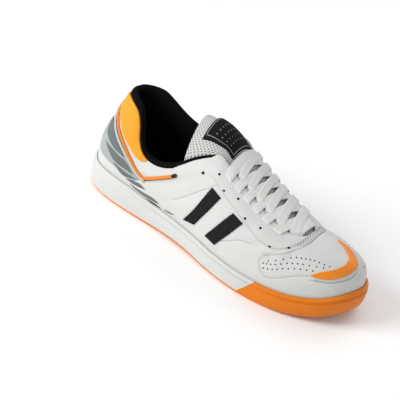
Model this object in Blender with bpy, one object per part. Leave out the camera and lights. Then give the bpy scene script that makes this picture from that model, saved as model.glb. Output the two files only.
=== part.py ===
# Indoor soccer shoe, the right foot's: X runs from heel to toe, +Y is the inner side, Z is up
import math

import bmesh
import bpy
import numpy as np

MM = 0.001

# Driving sizes
LENGTH = 0.295
HALF_BALL = 0.053
HEEL_TOP = 0.104
SOLE_HEEL = 0.026
TOE_SPRING = 0.012
ARCH_RISE = 0.0015
CUP_WALL = 0.0026
CUP_DEPTH = 0.008
FIT_GAP = 0.0003
WALL = 0.0022
COLLAR_PAD = 0.0056
INSOLE_THICK = 0.0038
TREAD_DEPTH = 0.0014
BASE_THICK = 0.0026
OVERLAY = 0.0011

# Ground outline from the heel's back to the toe's tip: share of LENGTH, share of HALF_BALL
OUTLINE = {
    "lateral": (
        (-0.008, 0.00), (0.004, -0.29), (0.042, -0.55), (0.108, -0.69), (0.203, -0.735), (0.339, -0.74),
        (0.458, -0.81), (0.559, -0.93), (0.661, -1.00), (0.763, -0.965), (0.847, -0.845), (0.920, -0.635),
        (0.962, -0.42), (0.989, -0.15), (1.000, 0.13),
    ),
    "medial": (
        (-0.008, 0.00), (0.004, 0.29), (0.042, 0.53), (0.108, 0.65), (0.203, 0.66), (0.339, 0.56),
        (0.458, 0.56), (0.559, 0.69), (0.661, 0.86), (0.729, 0.945), (0.814, 0.95), (0.885, 0.86),
        (0.947, 0.67), (0.984, 0.42), (1.000, 0.13),
    ),
}

# Sole lines: share of LENGTH, share of ARCH_RISE, share of TOE_SPRING, rim top as a share of SOLE_HEEL
SOLE = (
    (0.00, 0, 0.10, 1.02), (0.04, 0, 0.015, 1.01), (0.10, 0, 0, 1.00), (0.20, 0, 0, 0.95), (0.30, 0.4, 0, 0.84),
    (0.42, 1.0, 0, 0.76), (0.55, 0.2, 0, 0.715), (0.61, 0, 0, 0.705), (0.72, 0, 0, 0.70), (0.79, 0, 0.04, 0.72),
    (0.86, 0, 0.18, 0.78), (0.93, 0, 0.50, 0.95), (1.00, 0, 1.00, 1.30),
)

# Side wall of the sole: share of its height, then how far it stands out (mm) at heel, middle and toe
SIDE_WALL = (
    (0.00, 0.0, -0.4, 0.0), (0.07, 1.6, 0.6, 1.2), (0.35, 4.4, 0.9, 2.6), (0.66, 4.6, 0.2, 3.0),
    (0.80, 4.0, -0.3, 2.6), (0.835, 3.2, -1.1, 1.8), (0.87, 3.9, -0.4, 2.4), (0.95, 3.4, -0.7, 1.9),
    (1.00, 2.4, -1.4, 1.2),
)
HEEL_ZONE = 0.070
TOE_ZONE = 0.040

# Top line of the upper: path share, share of LENGTH, of HALF_BALL and of HEEL_TOP,
# then its profile: low handle's height share and bulge (mm), high handle's reach and drop shares
TOP = {
    "lateral": (
        (0.000, 0.058, 0.00, 0.990, 0.44, 7.0, 0.35, 0.32),
        (0.060, 0.070, -0.17, 1.000, 0.44, 6.0, 0.35, 0.32),
        (0.120, 0.102, -0.31, 0.992, 0.40, 4.5, 0.30, 0.32),
        (0.170, 0.141, -0.385, 0.935, 0.38, 3.0, 0.25, 0.34),
        (0.200, 0.160, -0.43, 0.835, 0.36, 2.5, 0.25, 0.36),
        (0.230, 0.175, -0.485, 0.710, 0.34, 2.5, 0.25, 0.36),
        (0.260, 0.200, -0.535, 0.618, 0.34, 2.5, 0.25, 0.36),
        (0.300, 0.238, -0.560, 0.580, 0.34, 2.5, 0.25, 0.36),
        (0.345, 0.288, -0.566, 0.605, 0.34, 2.5, 0.30, 0.36),
        (0.380, 0.338, -0.560, 0.690, 0.34, 2.5, 0.35, 0.36),
        (0.420, 0.393, -0.525, 0.835, 0.36, 3.0, 0.42, 0.32),
        (0.455, 0.440, -0.455, 0.922, 0.38, 3.5, 0.50, 0.26),
        (0.480, 0.468, -0.400, 0.940, 0.40, 4.0, 0.52, 0.22),
        (0.510, 0.500, -0.385, 0.890, 0.40, 4.0, 0.52, 0.20),
        (0.560, 0.560, -0.385, 0.795, 0.42, 3.5, 0.50, 0.17),
        (0.620, 0.632, -0.385, 0.695, 0.45, 3.0, 0.48, 0.14),
        (0.670, 0.700, -0.375, 0.622, 0.50, 2.5, 0.50, 0.10),
        (0.700, 0.748, -0.330, 0.588, 0.54, 2.5, 0.52, 0.06),
        (0.725, 0.785, -0.210, 0.585, 0.58, 2.5, 0.54, 0.02),
        (0.750, 0.804, 0.010, 0.592, 0.62, 2.5, 0.56, 0),
        (0.800, 0.822, 0.035, 0.585, 0.68, 2.5, 0.58, 0),
        (0.880, 0.846, 0.070, 0.573, 0.78, 2.5, 0.62, 0),
        (0.940, 0.866, 0.100, 0.560, 0.85, 2.5, 0.64, 0),
        (1.000, 0.886, 0.130, 0.543, 0.90, 2.5, 0.66, 0),
    ),
    "medial": (
        (0.000, 0.058, 0.00, 0.990, 0.44, 7.0, 0.35, 0.32),
        (0.060, 0.070, 0.17, 1.000, 0.44, 6.0, 0.35, 0.32),
        (0.120, 0.102, 0.30, 1.000, 0.40, 4.5, 0.30, 0.32),
        (0.170, 0.139, 0.365, 0.988, 0.38, 3.0, 0.25, 0.34),
        (0.210, 0.172, 0.40, 0.940, 0.36, 2.5, 0.25, 0.36),
        (0.250, 0.203, 0.45, 0.878, 0.34, 2.5, 0.25, 0.36),
        (0.290, 0.238, 0.50, 0.822, 0.34, 2.5, 0.25, 0.36),
        (0.335, 0.285, 0.535, 0.785, 0.34, 2.5, 0.30, 0.36),
        (0.380, 0.336, 0.535, 0.805, 0.34, 2.5, 0.35, 0.36),
        (0.420, 0.392, 0.505, 0.880, 0.36, 3.0, 0.42, 0.32),
        (0.455, 0.440, 0.455, 0.938, 0.38, 3.5, 0.50, 0.26),
        (0.480, 0.468, 0.410, 0.950, 0.40, 4.0, 0.52, 0.22),
        (0.510, 0.500, 0.375, 0.905, 0.40, 4.0, 0.52, 0.20),
        (0.560, 0.560, 0.360, 0.820, 0.42, 3.5, 0.50, 0.17),
        (0.620, 0.632, 0.345, 0.727, 0.45, 3.0, 0.48, 0.14),
        (0.670, 0.700, 0.325, 0.655, 0.50, 2.5, 0.50, 0.10),
        (0.700, 0.748, 0.280, 0.615, 0.54, 2.5, 0.52, 0.06),
        (0.725, 0.785, 0.180, 0.597, 0.58, 2.5, 0.54, 0.02),
        (0.750, 0.804, 0.010, 0.592, 0.62, 2.5, 0.56, 0),
        (0.800, 0.822, 0.035, 0.585, 0.68, 2.5, 0.58, 0),
        (0.880, 0.846, 0.070, 0.573, 0.78, 2.5, 0.62, 0),
        (0.940, 0.866, 0.100, 0.560, 0.85, 2.5, 0.64, 0),
        (1.000, 0.886, 0.130, 0.543, 0.90, 2.5, 0.66, 0),
    ),
}
THROAT_END = 0.75

# Rows of the shell: zones of the path share with how many steps each has, and the profile's own steps
PATH_ZONES = ((0.0, 0.12, 7), (0.12, THROAT_END, 21), (THROAT_END, 0.90, 5), (0.90, 1.0, 5))
PROFILE = (0, 0.06, 0.13, 0.23, 0.35, 0.47, 0.59, 0.71, 0.82, 0.92, 1.0)
CUP_RINGS = 4


def through(rows):
    """A smooth function through rows of (key, value, value, ...)."""
    table = np.array(rows, float)
    keys, values = table[:, 0], table[:, 1:]
    slopes = np.empty_like(values)
    slopes[1:-1] = (values[2:] - values[:-2]) / (keys[2:] - keys[:-2])[:, None]
    slopes[0] = (values[1] - values[0]) / (keys[1] - keys[0])
    slopes[-1] = (values[-1] - values[-2]) / (keys[-1] - keys[-2])

    def value(key):
        key = min(max(key, keys[0]), keys[-1])
        i = min(int(np.searchsorted(keys, key, side="right")) - 1, len(keys) - 2)
        return hermite(keys[i + 1] - keys[i], (key - keys[i]) / (keys[i + 1] - keys[i]),
                       values[i], values[i + 1], slopes[i], slopes[i + 1])

    return value


def hermite(gap, u, first, last, slope_first, slope_last):
    return (
        (2 * u**3 - 3 * u**2 + 1) * first
        + (u**3 - 2 * u**2 + u) * gap * slope_first
        + (3 * u**2 - 2 * u**3) * last
        + (u**3 - u**2) * gap * slope_last
    )


def outline_curve(side):
    """Ground outline of one side by its path share, square to the centre line at both ends."""
    points = np.array(OUTLINE[side], float) * (LENGTH, HALF_BALL)
    steps = np.linalg.norm(np.diff(points, axis=0), axis=1)
    path = np.concatenate([[0], np.cumsum(steps)]) / steps.sum()
    slopes = np.empty_like(points)
    slopes[1:-1] = (points[2:] - points[:-2]) / (path[2:] - path[:-2])[:, None]
    turn = -1.0 if side == "lateral" else 1.0
    slopes[0] = (0, turn * np.linalg.norm(slopes[1]))
    slopes[-1] = (0, -turn * np.linalg.norm(slopes[-2]))

    def value(s):
        s = min(max(s, 0), 1)
        i = min(int(np.searchsorted(path, s, side="right")) - 1, len(path) - 2)
        gap = path[i + 1] - path[i]
        return hermite(gap, (s - path[i]) / gap, points[i], points[i + 1], slopes[i], slopes[i + 1])

    return value


CURVES = {side: outline_curve(side) for side in OUTLINE}
SOLE_AT = through(SOLE)
SIDE_WALL_AT = through(SIDE_WALL)
TOP_AT = {side: through(rows) for side, rows in TOP.items()}
STEP = 0.001

# Ridge's slope is read this far to both sides; the collar's pad by profile shares and by path shares
RIDGE_STEP = 0.03
PAD_RISE = (0.35, 0.85)
PAD_END = (0.36, 0.46)


def outwards(side, s):
    """Level unit direction out of the outline."""
    turn = 1.0 if side == "lateral" else -1.0
    if s < STEP:
        return np.array([-1.0, 0.0])
    if s > 1 - STEP:
        return np.array([1.0, 0.0])
    along = CURVES[side](s + STEP) - CURVES[side](s - STEP)
    along /= np.linalg.norm(along)
    return np.array([along[1], -along[0]]) * turn


def outline(side, s, out=0.0):
    return CURVES[side](s) + outwards(side, s) * out


def ground_line(x):
    arch, spring, _ = SOLE_AT(x / LENGTH)
    return max(arch * ARCH_RISE + spring * TOE_SPRING, 0.0)


def rim_line(x):
    return SOLE_AT(x / LENGTH)[2] * SOLE_HEEL


def footbed(x):
    return rim_line(x) - CUP_DEPTH


def side_out(x, share):
    """How far the sole's side stands out at this length and share of its height."""
    heel, middle, toe = SIDE_WALL_AT(share)
    at_heel = min(max((HEEL_ZONE - x) / HEEL_ZONE, 0), 1) ** 2
    at_toe = min(max((x - LENGTH + TOE_ZONE) / TOE_ZONE, 0), 1) ** 2
    return (middle + (heel - middle) * at_heel + (toe - middle) * at_toe) * MM


def side_point(side, s, share):
    x = CURVES[side](s)[0]
    foot = outline(side, s, side_out(x, share))
    low, high = ground_line(x), rim_line(x)
    return np.array([foot[0], foot[1], low + (high - low) * share])


def ridge_slope(s):
    """Rise per length of the closed ridge between throat and toe."""
    if s < THROAT_END:
        return 0.0
    before = TOP_AT["lateral"](max(s - RIDGE_STEP, THROAT_END))
    after = TOP_AT["lateral"](min(s + RIDGE_STEP, 1))
    return float((after[2] - before[2]) * HEEL_TOP / ((after[0] - before[0]) * LENGTH))


def shell_point(side, s, t):
    """Outer face of the upper: s runs from heel to toe, t from its foot to its top line."""
    x, y, z, rise, bulge, reach, drop = TOP_AT[side](s)
    top = np.array([x * LENGTH, y * HALF_BALL, z * HEEL_TOP])
    ground_x = CURVES[side](s)[0]
    foot = outline(side, s, side_out(ground_x, 1) - CUP_WALL - FIT_GAP)
    low = np.array([foot[0], foot[1], footbed(ground_x) + FIT_GAP])
    out = outwards(side, s)
    height = top[2] - low[2]
    first = low + np.array([out[0] * bulge * MM, out[1] * bulge * MM, rise * height])
    second = top.copy()
    second[:2] += (low[:2] - top[:2]) * reach
    second[2] += ridge_slope(s) * (second[0] - top[0]) - drop * height
    u = 1 - t
    return u**3 * low + 3 * u**2 * t * first + 3 * u * t**2 * second + t**3 * top


def one_side_normal(side, s, t):
    s_low, s_high = max(s - STEP, 0), min(s + STEP, 1)
    t_low, t_high = max(t - STEP, 0), min(t + STEP, 1)
    along = shell_point(side, s_high, t) - shell_point(side, s_low, t)
    if s > 1 - STEP:
        along = np.array([0.0, 1.0 if side == "lateral" else -1.0, 0.0])
    up = shell_point(side, s, t_high) - shell_point(side, s, t_low)
    normal = np.cross(along, up) if side == "lateral" else np.cross(up, along)
    return normal / np.linalg.norm(normal)


def shell_normal(side, s, t):
    """Outward normal, shared by both sides where they meet."""
    normal = one_side_normal(side, s, t)
    if s < STEP or s > 1 - STEP or (t > 1 - STEP and s > THROAT_END - STEP):
        normal = normal + one_side_normal("medial" if side == "lateral" else "lateral", s, t)
    return normal / np.linalg.norm(normal)


def smooth_step(value, low, high):
    share = min(max((value - low) / (high - low), 0), 1)
    return share * share * (3 - 2 * share)


def wall_at(s, t):
    """Thickness of the upper: padded towards the collar's edge."""
    return WALL + (COLLAR_PAD - WALL) * smooth_step(t, *PAD_RISE) * (1 - smooth_step(s, *PAD_END))


def off_shell(side, s, t, out):
    return shell_point(side, s, t) + shell_normal(side, s, t) * out


def path_rows():
    rows = [0.0]
    for low, high, steps in PATH_ZONES:
        rows += [low + (high - low) * (i + 1) / steps for i in range(steps)]
    return rows


ROWS = path_rows()
THROAT_ROW = next(i for i, s in enumerate(ROWS) if s > THROAT_END - STEP)
SIDES = ("lateral", "medial")
LAST = len(ROWS) - 1

# Tongue: path share, its legs' foot as a profile share, crown above the edges and thickness (mm), roundness
TONGUE = (
    (0.395, 0.93, 34.0, 6.0, 0.62), (0.430, 0.88, 25.0, 6.5, 0.66), (0.465, 0.86, 13.5, 6.0, 0.80),
    (0.500, 0.87, 9.0, 4.8, 0.95), (0.560, 0.88, 7.5, 4.0, 1.0), (0.620, 0.88, 6.5, 3.4, 1.0),
    (0.680, 0.86, 4.6, 2.8, 1.0), (0.720, 0.84, 2.4, 2.2, 1.0), (0.745, 0.82, 0.6, 2.0, 1.0),
    (0.770, 0.82, 0.0, 1.8, 1.0),
)
TONGUE_STEPS = 13
LEG_STEPS = 2
LEG_TOP = 0.985
CROWN_STEPS = 8
TONGUE_GAP = 0.0006
TONGUE_ASIDE = 0.005

# Split between the white side wall and the orange sole
SPLIT_LOW = 0.201
SPLIT_HIGH = 0.2165
SPLIT_STEPS = 14

# Tread: its centres by share of LENGTH and of HALF_BALL
RIM_BAND = 0.0115
LUG_REACH = 0.010
CENTRES = {"ball": (0.700, 0.36), "heel": (0.145, 0.00)}
# Discs about a centre: radius (mm), sides and hole radius (mm)
DISCS = (("ball", 20.0, 16, 16.5), ("ball", 13.5, 12, 0.0), ("heel", 12.0, 12, 9.0), ("heel", 6.0, 8, 0.0))
# Lugs on arcs about a centre: arc radius (mm), first and last angle, count, lug radius (mm), sides
LUG_ARCS = (
    ("ball", 60.5, 9, 138, 7, 7.6, 8), ("ball", 46.5, 0, 150, 9, 5.2, 6), ("ball", 34.5, -6, 170, 9, 4.0, 6),
    ("heel", 22.0, 60, 300, 7, 4.4, 6),
)

WHITE = (0.80, 0.80, 0.78, 1)
ORANGE = (0.90, 0.36, 0.03, 1)
YELLOW = (0.95, 0.50, 0.06, 1)
RUST = (0.70, 0.26, 0.03, 1)
GREY = (0.45, 0.46, 0.47, 1)
BLACK = (0.02, 0.02, 0.02, 1)

# Middle of a share, the collar's rounded rim and the eased edges of sheets
HALF = 0.5
RIM_ROUND = 0.4
EDGE_EASE = 0.0004

# Zones that part the white and orange sole: their start as a share of LENGTH, and their top
ZONE_START = -0.4
ZONE_TOP = 0.5

# Overlays, a row per station: share, then both edges as a signed path share and a profile share
BOTH = (("_outer", 1), ("_inner", -1))
OVERLAYS = {
    "toe_crescent": ((
        (0.00, 0.831, 0.365, 0.833, 0.385), (0.20, 0.880, 0.362, 0.878, 0.500), (0.40, 0.925, 0.395, 0.920, 0.600),
        (0.60, 0.968, 0.500, 0.965, 0.720), (0.72, 1.005, 0.600, 1.000, 0.800), (0.85, 1.050, 0.680, 1.050, 0.835),
        (1.00, 1.138, 0.800, 1.139, 0.820),
    ), (("", 1),), 18, 2, ORANGE),
    "counter": ((
        (0.00, 0.066, 0.360, 0.060, 0.600), (0.25, 0.082, 0.230, 0.098, 0.545), (0.50, 0.120, 0.200, 0.140, 0.475),
        (0.75, 0.175, 0.210, 0.190, 0.425), (1.00, 0.232, 0.270, 0.262, 0.455),
    ), BOTH, 14, 4, GREY),
    "collar_panel": ((
        (0.00, 0.045, 0.800, 0.045, 0.940), (0.25, 0.085, 0.705, 0.100, 0.940), (0.50, 0.130, 0.615, 0.165, 0.940),
        (0.75, 0.185, 0.580, 0.222, 0.935), (1.00, 0.252, 0.800, 0.268, 0.925),
    ), BOTH, 12, 4, YELLOW),
    "front_band": ((
        (0.00, 0.505, 0.180, 0.547, 0.180), (0.50, 0.538, 0.400, 0.580, 0.400), (1.00, 0.566, 0.620, 0.606, 0.620),
    ), BOTH, 6, 2, BLACK),
    "rear_band": ((
        (0.00, 0.420, 0.190, 0.462, 0.190), (0.50, 0.453, 0.400, 0.495, 0.400), (1.00, 0.481, 0.630, 0.521, 0.630),
    ), BOTH, 6, 2, BLACK),
}

# Piping beside the collar panel: its centre line as share, path share, profile share, and its width
PIPING = (
    (0.00, 0.040, 0.770), (0.15, 0.062, 0.670), (0.30, 0.100, 0.600), (0.45, 0.140, 0.530), (0.58, 0.190, 0.470),
    (0.70, 0.240, 0.480), (0.80, 0.290, 0.600), (0.90, 0.333, 0.730), (1.00, 0.372, 0.830),
)
PIPING_WIDTH = 0.0036
PIPING_STEPS = 20

# Label over the tongue, its edges by path share
LABEL = (0.402, 0.498)
LABEL_GAP = 0.0007
LABEL_STEPS = 6

# Laces: eyelet rows by path share, where they sit on the profile, and the bars' own sizes
EYELETS = (0.714, 0.682, 0.650, 0.618, 0.586, 0.553, 0.520)
EYELET_T = 0.87
THROAT_SHARE = 0.74
PATH_LENGTH = 0.345
LACE_WIDTH = 0.0068
LACE_THICK = 0.0013
LACE_LOW = 0.0006
LACE_HIGH = 0.0011
LACE_MIDDLE = 0.0008
LACE_SINK = 0.0012
LACE_SHORT = 0.975
LACE_END = 0.99
LACE_STEPS = 7


def clear_scene():
    for thing in list(bpy.data.objects):
        bpy.data.objects.remove(thing, do_unlink=True)


def make_collection(name, hidden):
    group = bpy.data.collections.new(name)
    bpy.context.scene.collection.children.link(group)
    group.hide_render = hidden
    return group


def sole_middle():
    """Middle of the sole's outline box: the shoe stands with it on the origin."""
    points = [side_point(side, s, row[0])[:2] for side in SIDES for s in ROWS for row in SIDE_WALL]
    low, high = np.min(points, axis=0), np.max(points, axis=0)
    return np.append((low + high) / 2, 0.0)


MIDDLE = sole_middle()


def add_mesh(name, points, faces, group, colour=None):
    """A closed mesh as an object, its faces turned outwards."""
    mesh = bpy.data.meshes.new(name)
    mesh.from_pydata([tuple(float(v) for v in np.array(point) - MIDDLE) for point in points], [], faces)
    body = bmesh.new()
    body.from_mesh(mesh)
    bmesh.ops.recalc_face_normals(body, faces=body.faces)
    body.to_mesh(mesh)
    body.free()
    thing = bpy.data.objects.new(name, mesh)
    group.objects.link(thing)
    if colour:
        material = bpy.data.materials.new(name)
        material.use_nodes = True
        material.node_tree.nodes["Principled BSDF"].inputs["Base Color"].default_value = colour
        mesh.materials.append(material)
    else:
        thing.hide_render = True
        thing.display_type = "WIRE"
    return thing


def combine(thing, other, operation):
    modifier = thing.modifiers.new(other.name, "BOOLEAN")
    modifier.operation = operation
    modifier.solver = "EXACT"
    modifier.object = other


class Loft:
    """Points kept once by name, and the faces between them."""

    def __init__(self):
        self.points = []
        self.index = {}
        self.faces = []

    def point(self, key, make):
        if key not in self.index:
            self.index[key] = len(self.points)
            self.points.append(make())
        return self.index[key]

    def face(self, corners):
        loop = [c for i, c in enumerate(corners) if c != corners[i - 1]]
        if len(loop) > 2:
            self.faces.append(loop)


def ring_stack(rings):
    """Solid through level rings; each ring gives a point for (side, row)."""
    loft = Loft()

    def at(ring, side, i):
        name = "lateral" if i in (0, LAST) else side
        return loft.point((ring, name, i), lambda: rings[ring](name, ROWS[i]))

    for i in range(LAST):
        for side in SIDES:
            for ring in range(len(rings) - 1):
                loft.face([at(ring, side, i), at(ring, side, i + 1), at(ring + 1, side, i + 1), at(ring + 1, side, i)])
        for ring in (0, len(rings) - 1):
            loft.face([
                at(ring, "lateral", i), at(ring, "lateral", i + 1), at(ring, "medial", i + 1), at(ring, "medial", i),
            ])
    return loft


def shell_layer(side, i, j, layer):
    s, t = ROWS[i], PROFILE[j]
    return off_shell(side, s, t, -wall_at(s, t) if layer == "inner" else 0.0)


def rim_point(side, i):
    s = ROWS[i]
    wall = wall_at(s, 1)
    up = shell_point(side, s, 1) - shell_point(side, s, 1 - STEP)
    up /= np.linalg.norm(up)
    return off_shell(side, s, 1, -wall / 2) + up * wall * RIM_ROUND


def build_upper(group):
    """Hollow shell with a real wall, open at collar, throat and underneath."""
    loft = Loft()
    top = len(PROFILE) - 1

    def at(side, i, j, layer):
        meet = i in (0, LAST) or (j == top and i >= THROAT_ROW)
        name = "lateral" if meet else side
        return loft.point((name, i, j, layer), lambda: shell_layer(name, i, j, layer))

    def rim(side, i):
        name = "lateral" if i in (0, THROAT_ROW) else side
        return loft.point((name, i, "rim"), lambda: rim_point(name, i))

    for side in SIDES:
        for i in range(LAST):
            for j in range(top):
                for layer in ("outer", "inner"):
                    loft.face([at(side, i, j, layer), at(side, i + 1, j, layer),
                               at(side, i + 1, j + 1, layer), at(side, i, j + 1, layer)])
            loft.face([at(side, i, 0, "outer"), at(side, i + 1, 0, "outer"),
                       at(side, i + 1, 0, "inner"), at(side, i, 0, "inner")])
            if i < THROAT_ROW:
                for layer in ("outer", "inner"):
                    loft.face([at(side, i, top, layer), at(side, i + 1, top, layer), rim(side, i + 1), rim(side, i)])
    return add_mesh("upper", loft.points, loft.faces, group, WHITE)


def cup_ring(t):
    def ring(side, s):
        point = off_shell(side, s, t, FIT_GAP)
        if t == 0:
            point[2] = footbed(CURVES[side](s)[0])
        return point
    return ring


def split_prism(name, grow, group):
    """Extruded side profile that keeps the orange sole: a thin base, and the whole height at the forefoot."""
    profile = []
    first = ZONE_START * LENGTH
    for i in range(SPLIT_STEPS + 1):
        x = first + (SPLIT_LOW - first) * i / SPLIT_STEPS
        profile.append((x - grow, ground_line(x) + BASE_THICK + grow))
    profile += [(SPLIT_HIGH - grow, rim_line(SPLIT_HIGH)), (SPLIT_HIGH - grow, ZONE_TOP), (2 * LENGTH, ZONE_TOP),
                (2 * LENGTH, -SOLE_HEEL), (first - SOLE_HEEL, -SOLE_HEEL)]
    profile[0] = (first - SOLE_HEEL, profile[0][1])
    count = len(profile)
    points = [(x, y, z) for y in (-LENGTH, LENGTH) for x, z in profile]
    faces = [[i, (i + 1) % count, count + (i + 1) % count, count + i] for i in range(count)]
    faces += [list(range(count)), list(range(count, 2 * count))]
    return add_mesh(name, points, faces, group)


def tread_ring(lift, follow):
    def ring(side, s):
        x = CURVES[side](s)[0]
        foot = outline(side, s, -RIM_BAND)
        return np.array([foot[0], foot[1], lift + (ground_line(x) if follow else 0.0)])
    return ring


def prism(loft, centre, radius, sides, hole=0.0):
    """Upright lug from below the floor into the sole, a tube where it has a hole."""
    base = len(loft.points)
    rims = [radius] if not hole else [radius, hole]
    for rim in rims:
        for z in (-LUG_REACH, LUG_REACH):
            for k in range(sides):
                turn = 2 * math.pi * (k + HALF) / sides
                loft.points.append(np.array([centre[0] + rim * math.cos(turn), centre[1] + rim * math.sin(turn), z]))
    for k in range(sides):
        n = (k + 1) % sides
        for r in range(len(rims)):
            low = base + 2 * r * sides
            loft.faces.append([low + k, low + n, low + sides + n, low + sides + k])
        if hole:
            for z in (0, sides):
                low = base + z
                loft.faces.append([low + k, low + n, low + 2 * sides + n, low + 2 * sides + k])
    if not hole:
        loft.faces.append([base + k for k in range(sides)])
        loft.faces.append([base + sides + k for k in range(sides)])


def arc_places(centre, radius, low, high, count):
    """Places on an arc about the pivot, its angle measured from the toe towards the outer side."""
    for k in range(count):
        turn = math.radians(low + (high - low) * k / (count - 1))
        yield centre[0] + radius * math.cos(turn), centre[1] - radius * math.sin(turn)


def build_tread(cutters):
    """Sunk floor of the tread inside the rim band, less its lugs, which end level with the band."""
    floor = ring_stack([tread_ring(-LUG_REACH / 2, False), tread_ring(TREAD_DEPTH, True)])
    sunk = add_mesh("tread_floor", floor.points, floor.faces, cutters)
    lugs = Loft()
    centres = {name: (x * LENGTH, y * HALF_BALL) for name, (x, y) in CENTRES.items()}
    for name, radius, sides, hole in DISCS:
        prism(lugs, centres[name], radius * MM, sides, hole * MM)
    for name, reach, low, high, count, radius, sides in LUG_ARCS:
        for place in arc_places(centres[name], reach * MM, low, high, count):
            prism(lugs, place, radius * MM, sides)
    blocks = add_mesh("tread_lugs", lugs.points, lugs.faces, cutters)
    combine(sunk, blocks, "DIFFERENCE")
    return sunk


def build_sole(parts, cutters):
    shares = [row[0] for row in SIDE_WALL]
    rings = [lambda side, s, share=share: side_point(side, s, share) for share in shares]
    body = ring_stack(rings)
    cup = ring_stack([cup_ring(t) for t in PROFILE[:CUP_RINGS]])
    hollow = add_mesh("cup_hollow", cup.points, cup.faces, cutters)
    keep = split_prism("orange_zone", 0.0, cutters)
    cut = split_prism("white_zone", FIT_GAP, cutters)
    outsole = add_mesh("outsole", body.points, body.faces, parts, ORANGE)
    midsole = add_mesh("midsole", body.points, body.faces, parts, WHITE)
    combine(outsole, hollow, "DIFFERENCE")
    combine(outsole, keep, "INTERSECT")
    combine(outsole, build_tread(cutters), "DIFFERENCE")
    combine(midsole, hollow, "DIFFERENCE")
    combine(midsole, cut, "DIFFERENCE")


def insole_ring(lift):
    def ring(side, s):
        point = shell_point(side, s, 0)
        out = outwards(side, s)
        point[:2] -= out * (WALL + 2 * FIT_GAP)
        point[2] = footbed(CURVES[side](s)[0]) + lift
        return point
    return ring


def build_insole(parts):
    loft = ring_stack([insole_ring(FIT_GAP), insole_ring(FIT_GAP + INSOLE_THICK)])
    add_mesh("insole", loft.points, loft.faces, parts, BLACK)


TONGUE_AT = through(TONGUE)


def tongue_section(s):
    """Points across the tongue's top face from its outer leg to its inner leg."""
    foot, crown, _, roundness = TONGUE_AT(s)
    legs = {}
    for side in SIDES:
        legs[side] = []
        for k in range(LEG_STEPS + 1):
            t = foot + (LEG_TOP - foot) * k / LEG_STEPS
            legs[side].append(off_shell(side, s, t, -wall_at(s, t) - TONGUE_GAP))
    first, last = legs["lateral"][-1], legs["medial"][-1]
    arch = []
    for k in range(1, CROWN_STEPS):
        u = k / CROWN_STEPS
        point = first + (last - first) * u
        point[2] += crown * MM * math.sin(math.pi * u) ** roundness
        arch.append(point)
    return legs["lateral"] + arch + legs["medial"][::-1]


def build_tongue(parts):
    """Padded sheet under the throat: each section's lower face lies inside its upper one."""
    low, high = TONGUE[0][0], TONGUE[-1][0]
    stations = [low + (high - low) * i / TONGUE_STEPS for i in range(TONGUE_STEPS + 1)]
    tops = [np.array(tongue_section(s)) for s in stations]
    count = len(tops[0])
    loft = Loft()
    lows = []
    for i, section in enumerate(tops):
        thick = TONGUE_AT(stations[i])[2] * MM
        across = np.gradient(section, axis=0)
        along = tops[min(i + 1, TONGUE_STEPS)] - tops[max(i - 1, 0)]
        normal = np.cross(along, across)
        normal /= np.linalg.norm(normal, axis=1)[:, None]
        lows.append(section - normal * thick)
    for i in range(TONGUE_STEPS + 1):
        for k in range(count):
            loft.point(("top", i, k), lambda: tops[i][k])
            loft.point(("low", i, k), lambda: lows[i][k])
    for i in range(TONGUE_STEPS):
        for k in range(count - 1):
            for layer in ("top", "low"):
                loft.face([loft.index[layer, a, b] for a, b in ((i, k), (i + 1, k), (i + 1, k + 1), (i, k + 1))])
        for k in (0, count - 1):
            loft.face([loft.index[layer, a, k] for layer, a in
                       (("top", i), ("top", i + 1), ("low", i + 1), ("low", i))])
    for i in (0, TONGUE_STEPS):
        for k in range(count - 1):
            loft.face([loft.index[layer, i, b] for layer, b in
                       (("top", k), ("top", k + 1), ("low", k + 1), ("low", k))])
    add_mesh("tongue", loft.points, loft.faces, parts, WHITE)


def round_point(around, t, out):
    """Point off the shell by a signed path: outer side up to the toe's tip at 1, inner side below 0 and past 1."""
    if around < 0:
        return off_shell("medial", -around, t, out)
    if around > 1:
        return off_shell("medial", 2 - around, t, out)
    return off_shell("lateral", around, t, out)


def sheet(name, place, along, across, low, high, parts, colour):
    """Closed sheet between two offsets of a surface, its top face's edge eased down."""
    grids = []
    for out in (low, high):
        grid = []
        for i in range(along + 1):
            row = []
            for j in range(across + 1):
                edge = i in (0, along) or j in (0, across)
                row.append(place(i / along, j / across, out - (EDGE_EASE if edge and out == high else 0.0)))
            grid.append(row)
        grids.append(grid)
    loft = Loft()

    def at(layer, i, j):
        return loft.point((layer, i, j), lambda: grids[layer][i][j])

    for i in range(along):
        for j in range(across):
            for layer in (0, 1):
                loft.face([at(layer, i, j), at(layer, i + 1, j), at(layer, i + 1, j + 1), at(layer, i, j + 1)])
        for j in (0, across):
            loft.face([at(0, i, j), at(0, i + 1, j), at(1, i + 1, j), at(1, i, j)])
    for j in range(across):
        for i in (0, along):
            loft.face([at(0, i, j), at(0, i, j + 1), at(1, i, j + 1), at(1, i, j)])
    return add_mesh(name, loft.points, loft.faces, parts, colour)


def build_overlays(parts):
    """Sheets cut between two offsets of the upper, by tables of their two edges."""
    for name, (rows, sides, along, across, colour) in OVERLAYS.items():
        edges = through(rows)
        low, high = rows[0][0], rows[-1][0]
        for label, sign in sides:
            def place(u, v, out, edges=edges, sign=sign, low=low, high=high):
                a_low, t_low, a_high, t_high = edges(low + (high - low) * u)
                around = a_low + (a_high - a_low) * v
                return round_point(around * sign, t_low + (t_high - t_low) * v, out)
            sheet(name + label, place, along, across, FIT_GAP, FIT_GAP + OVERLAY, parts, colour)


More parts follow.
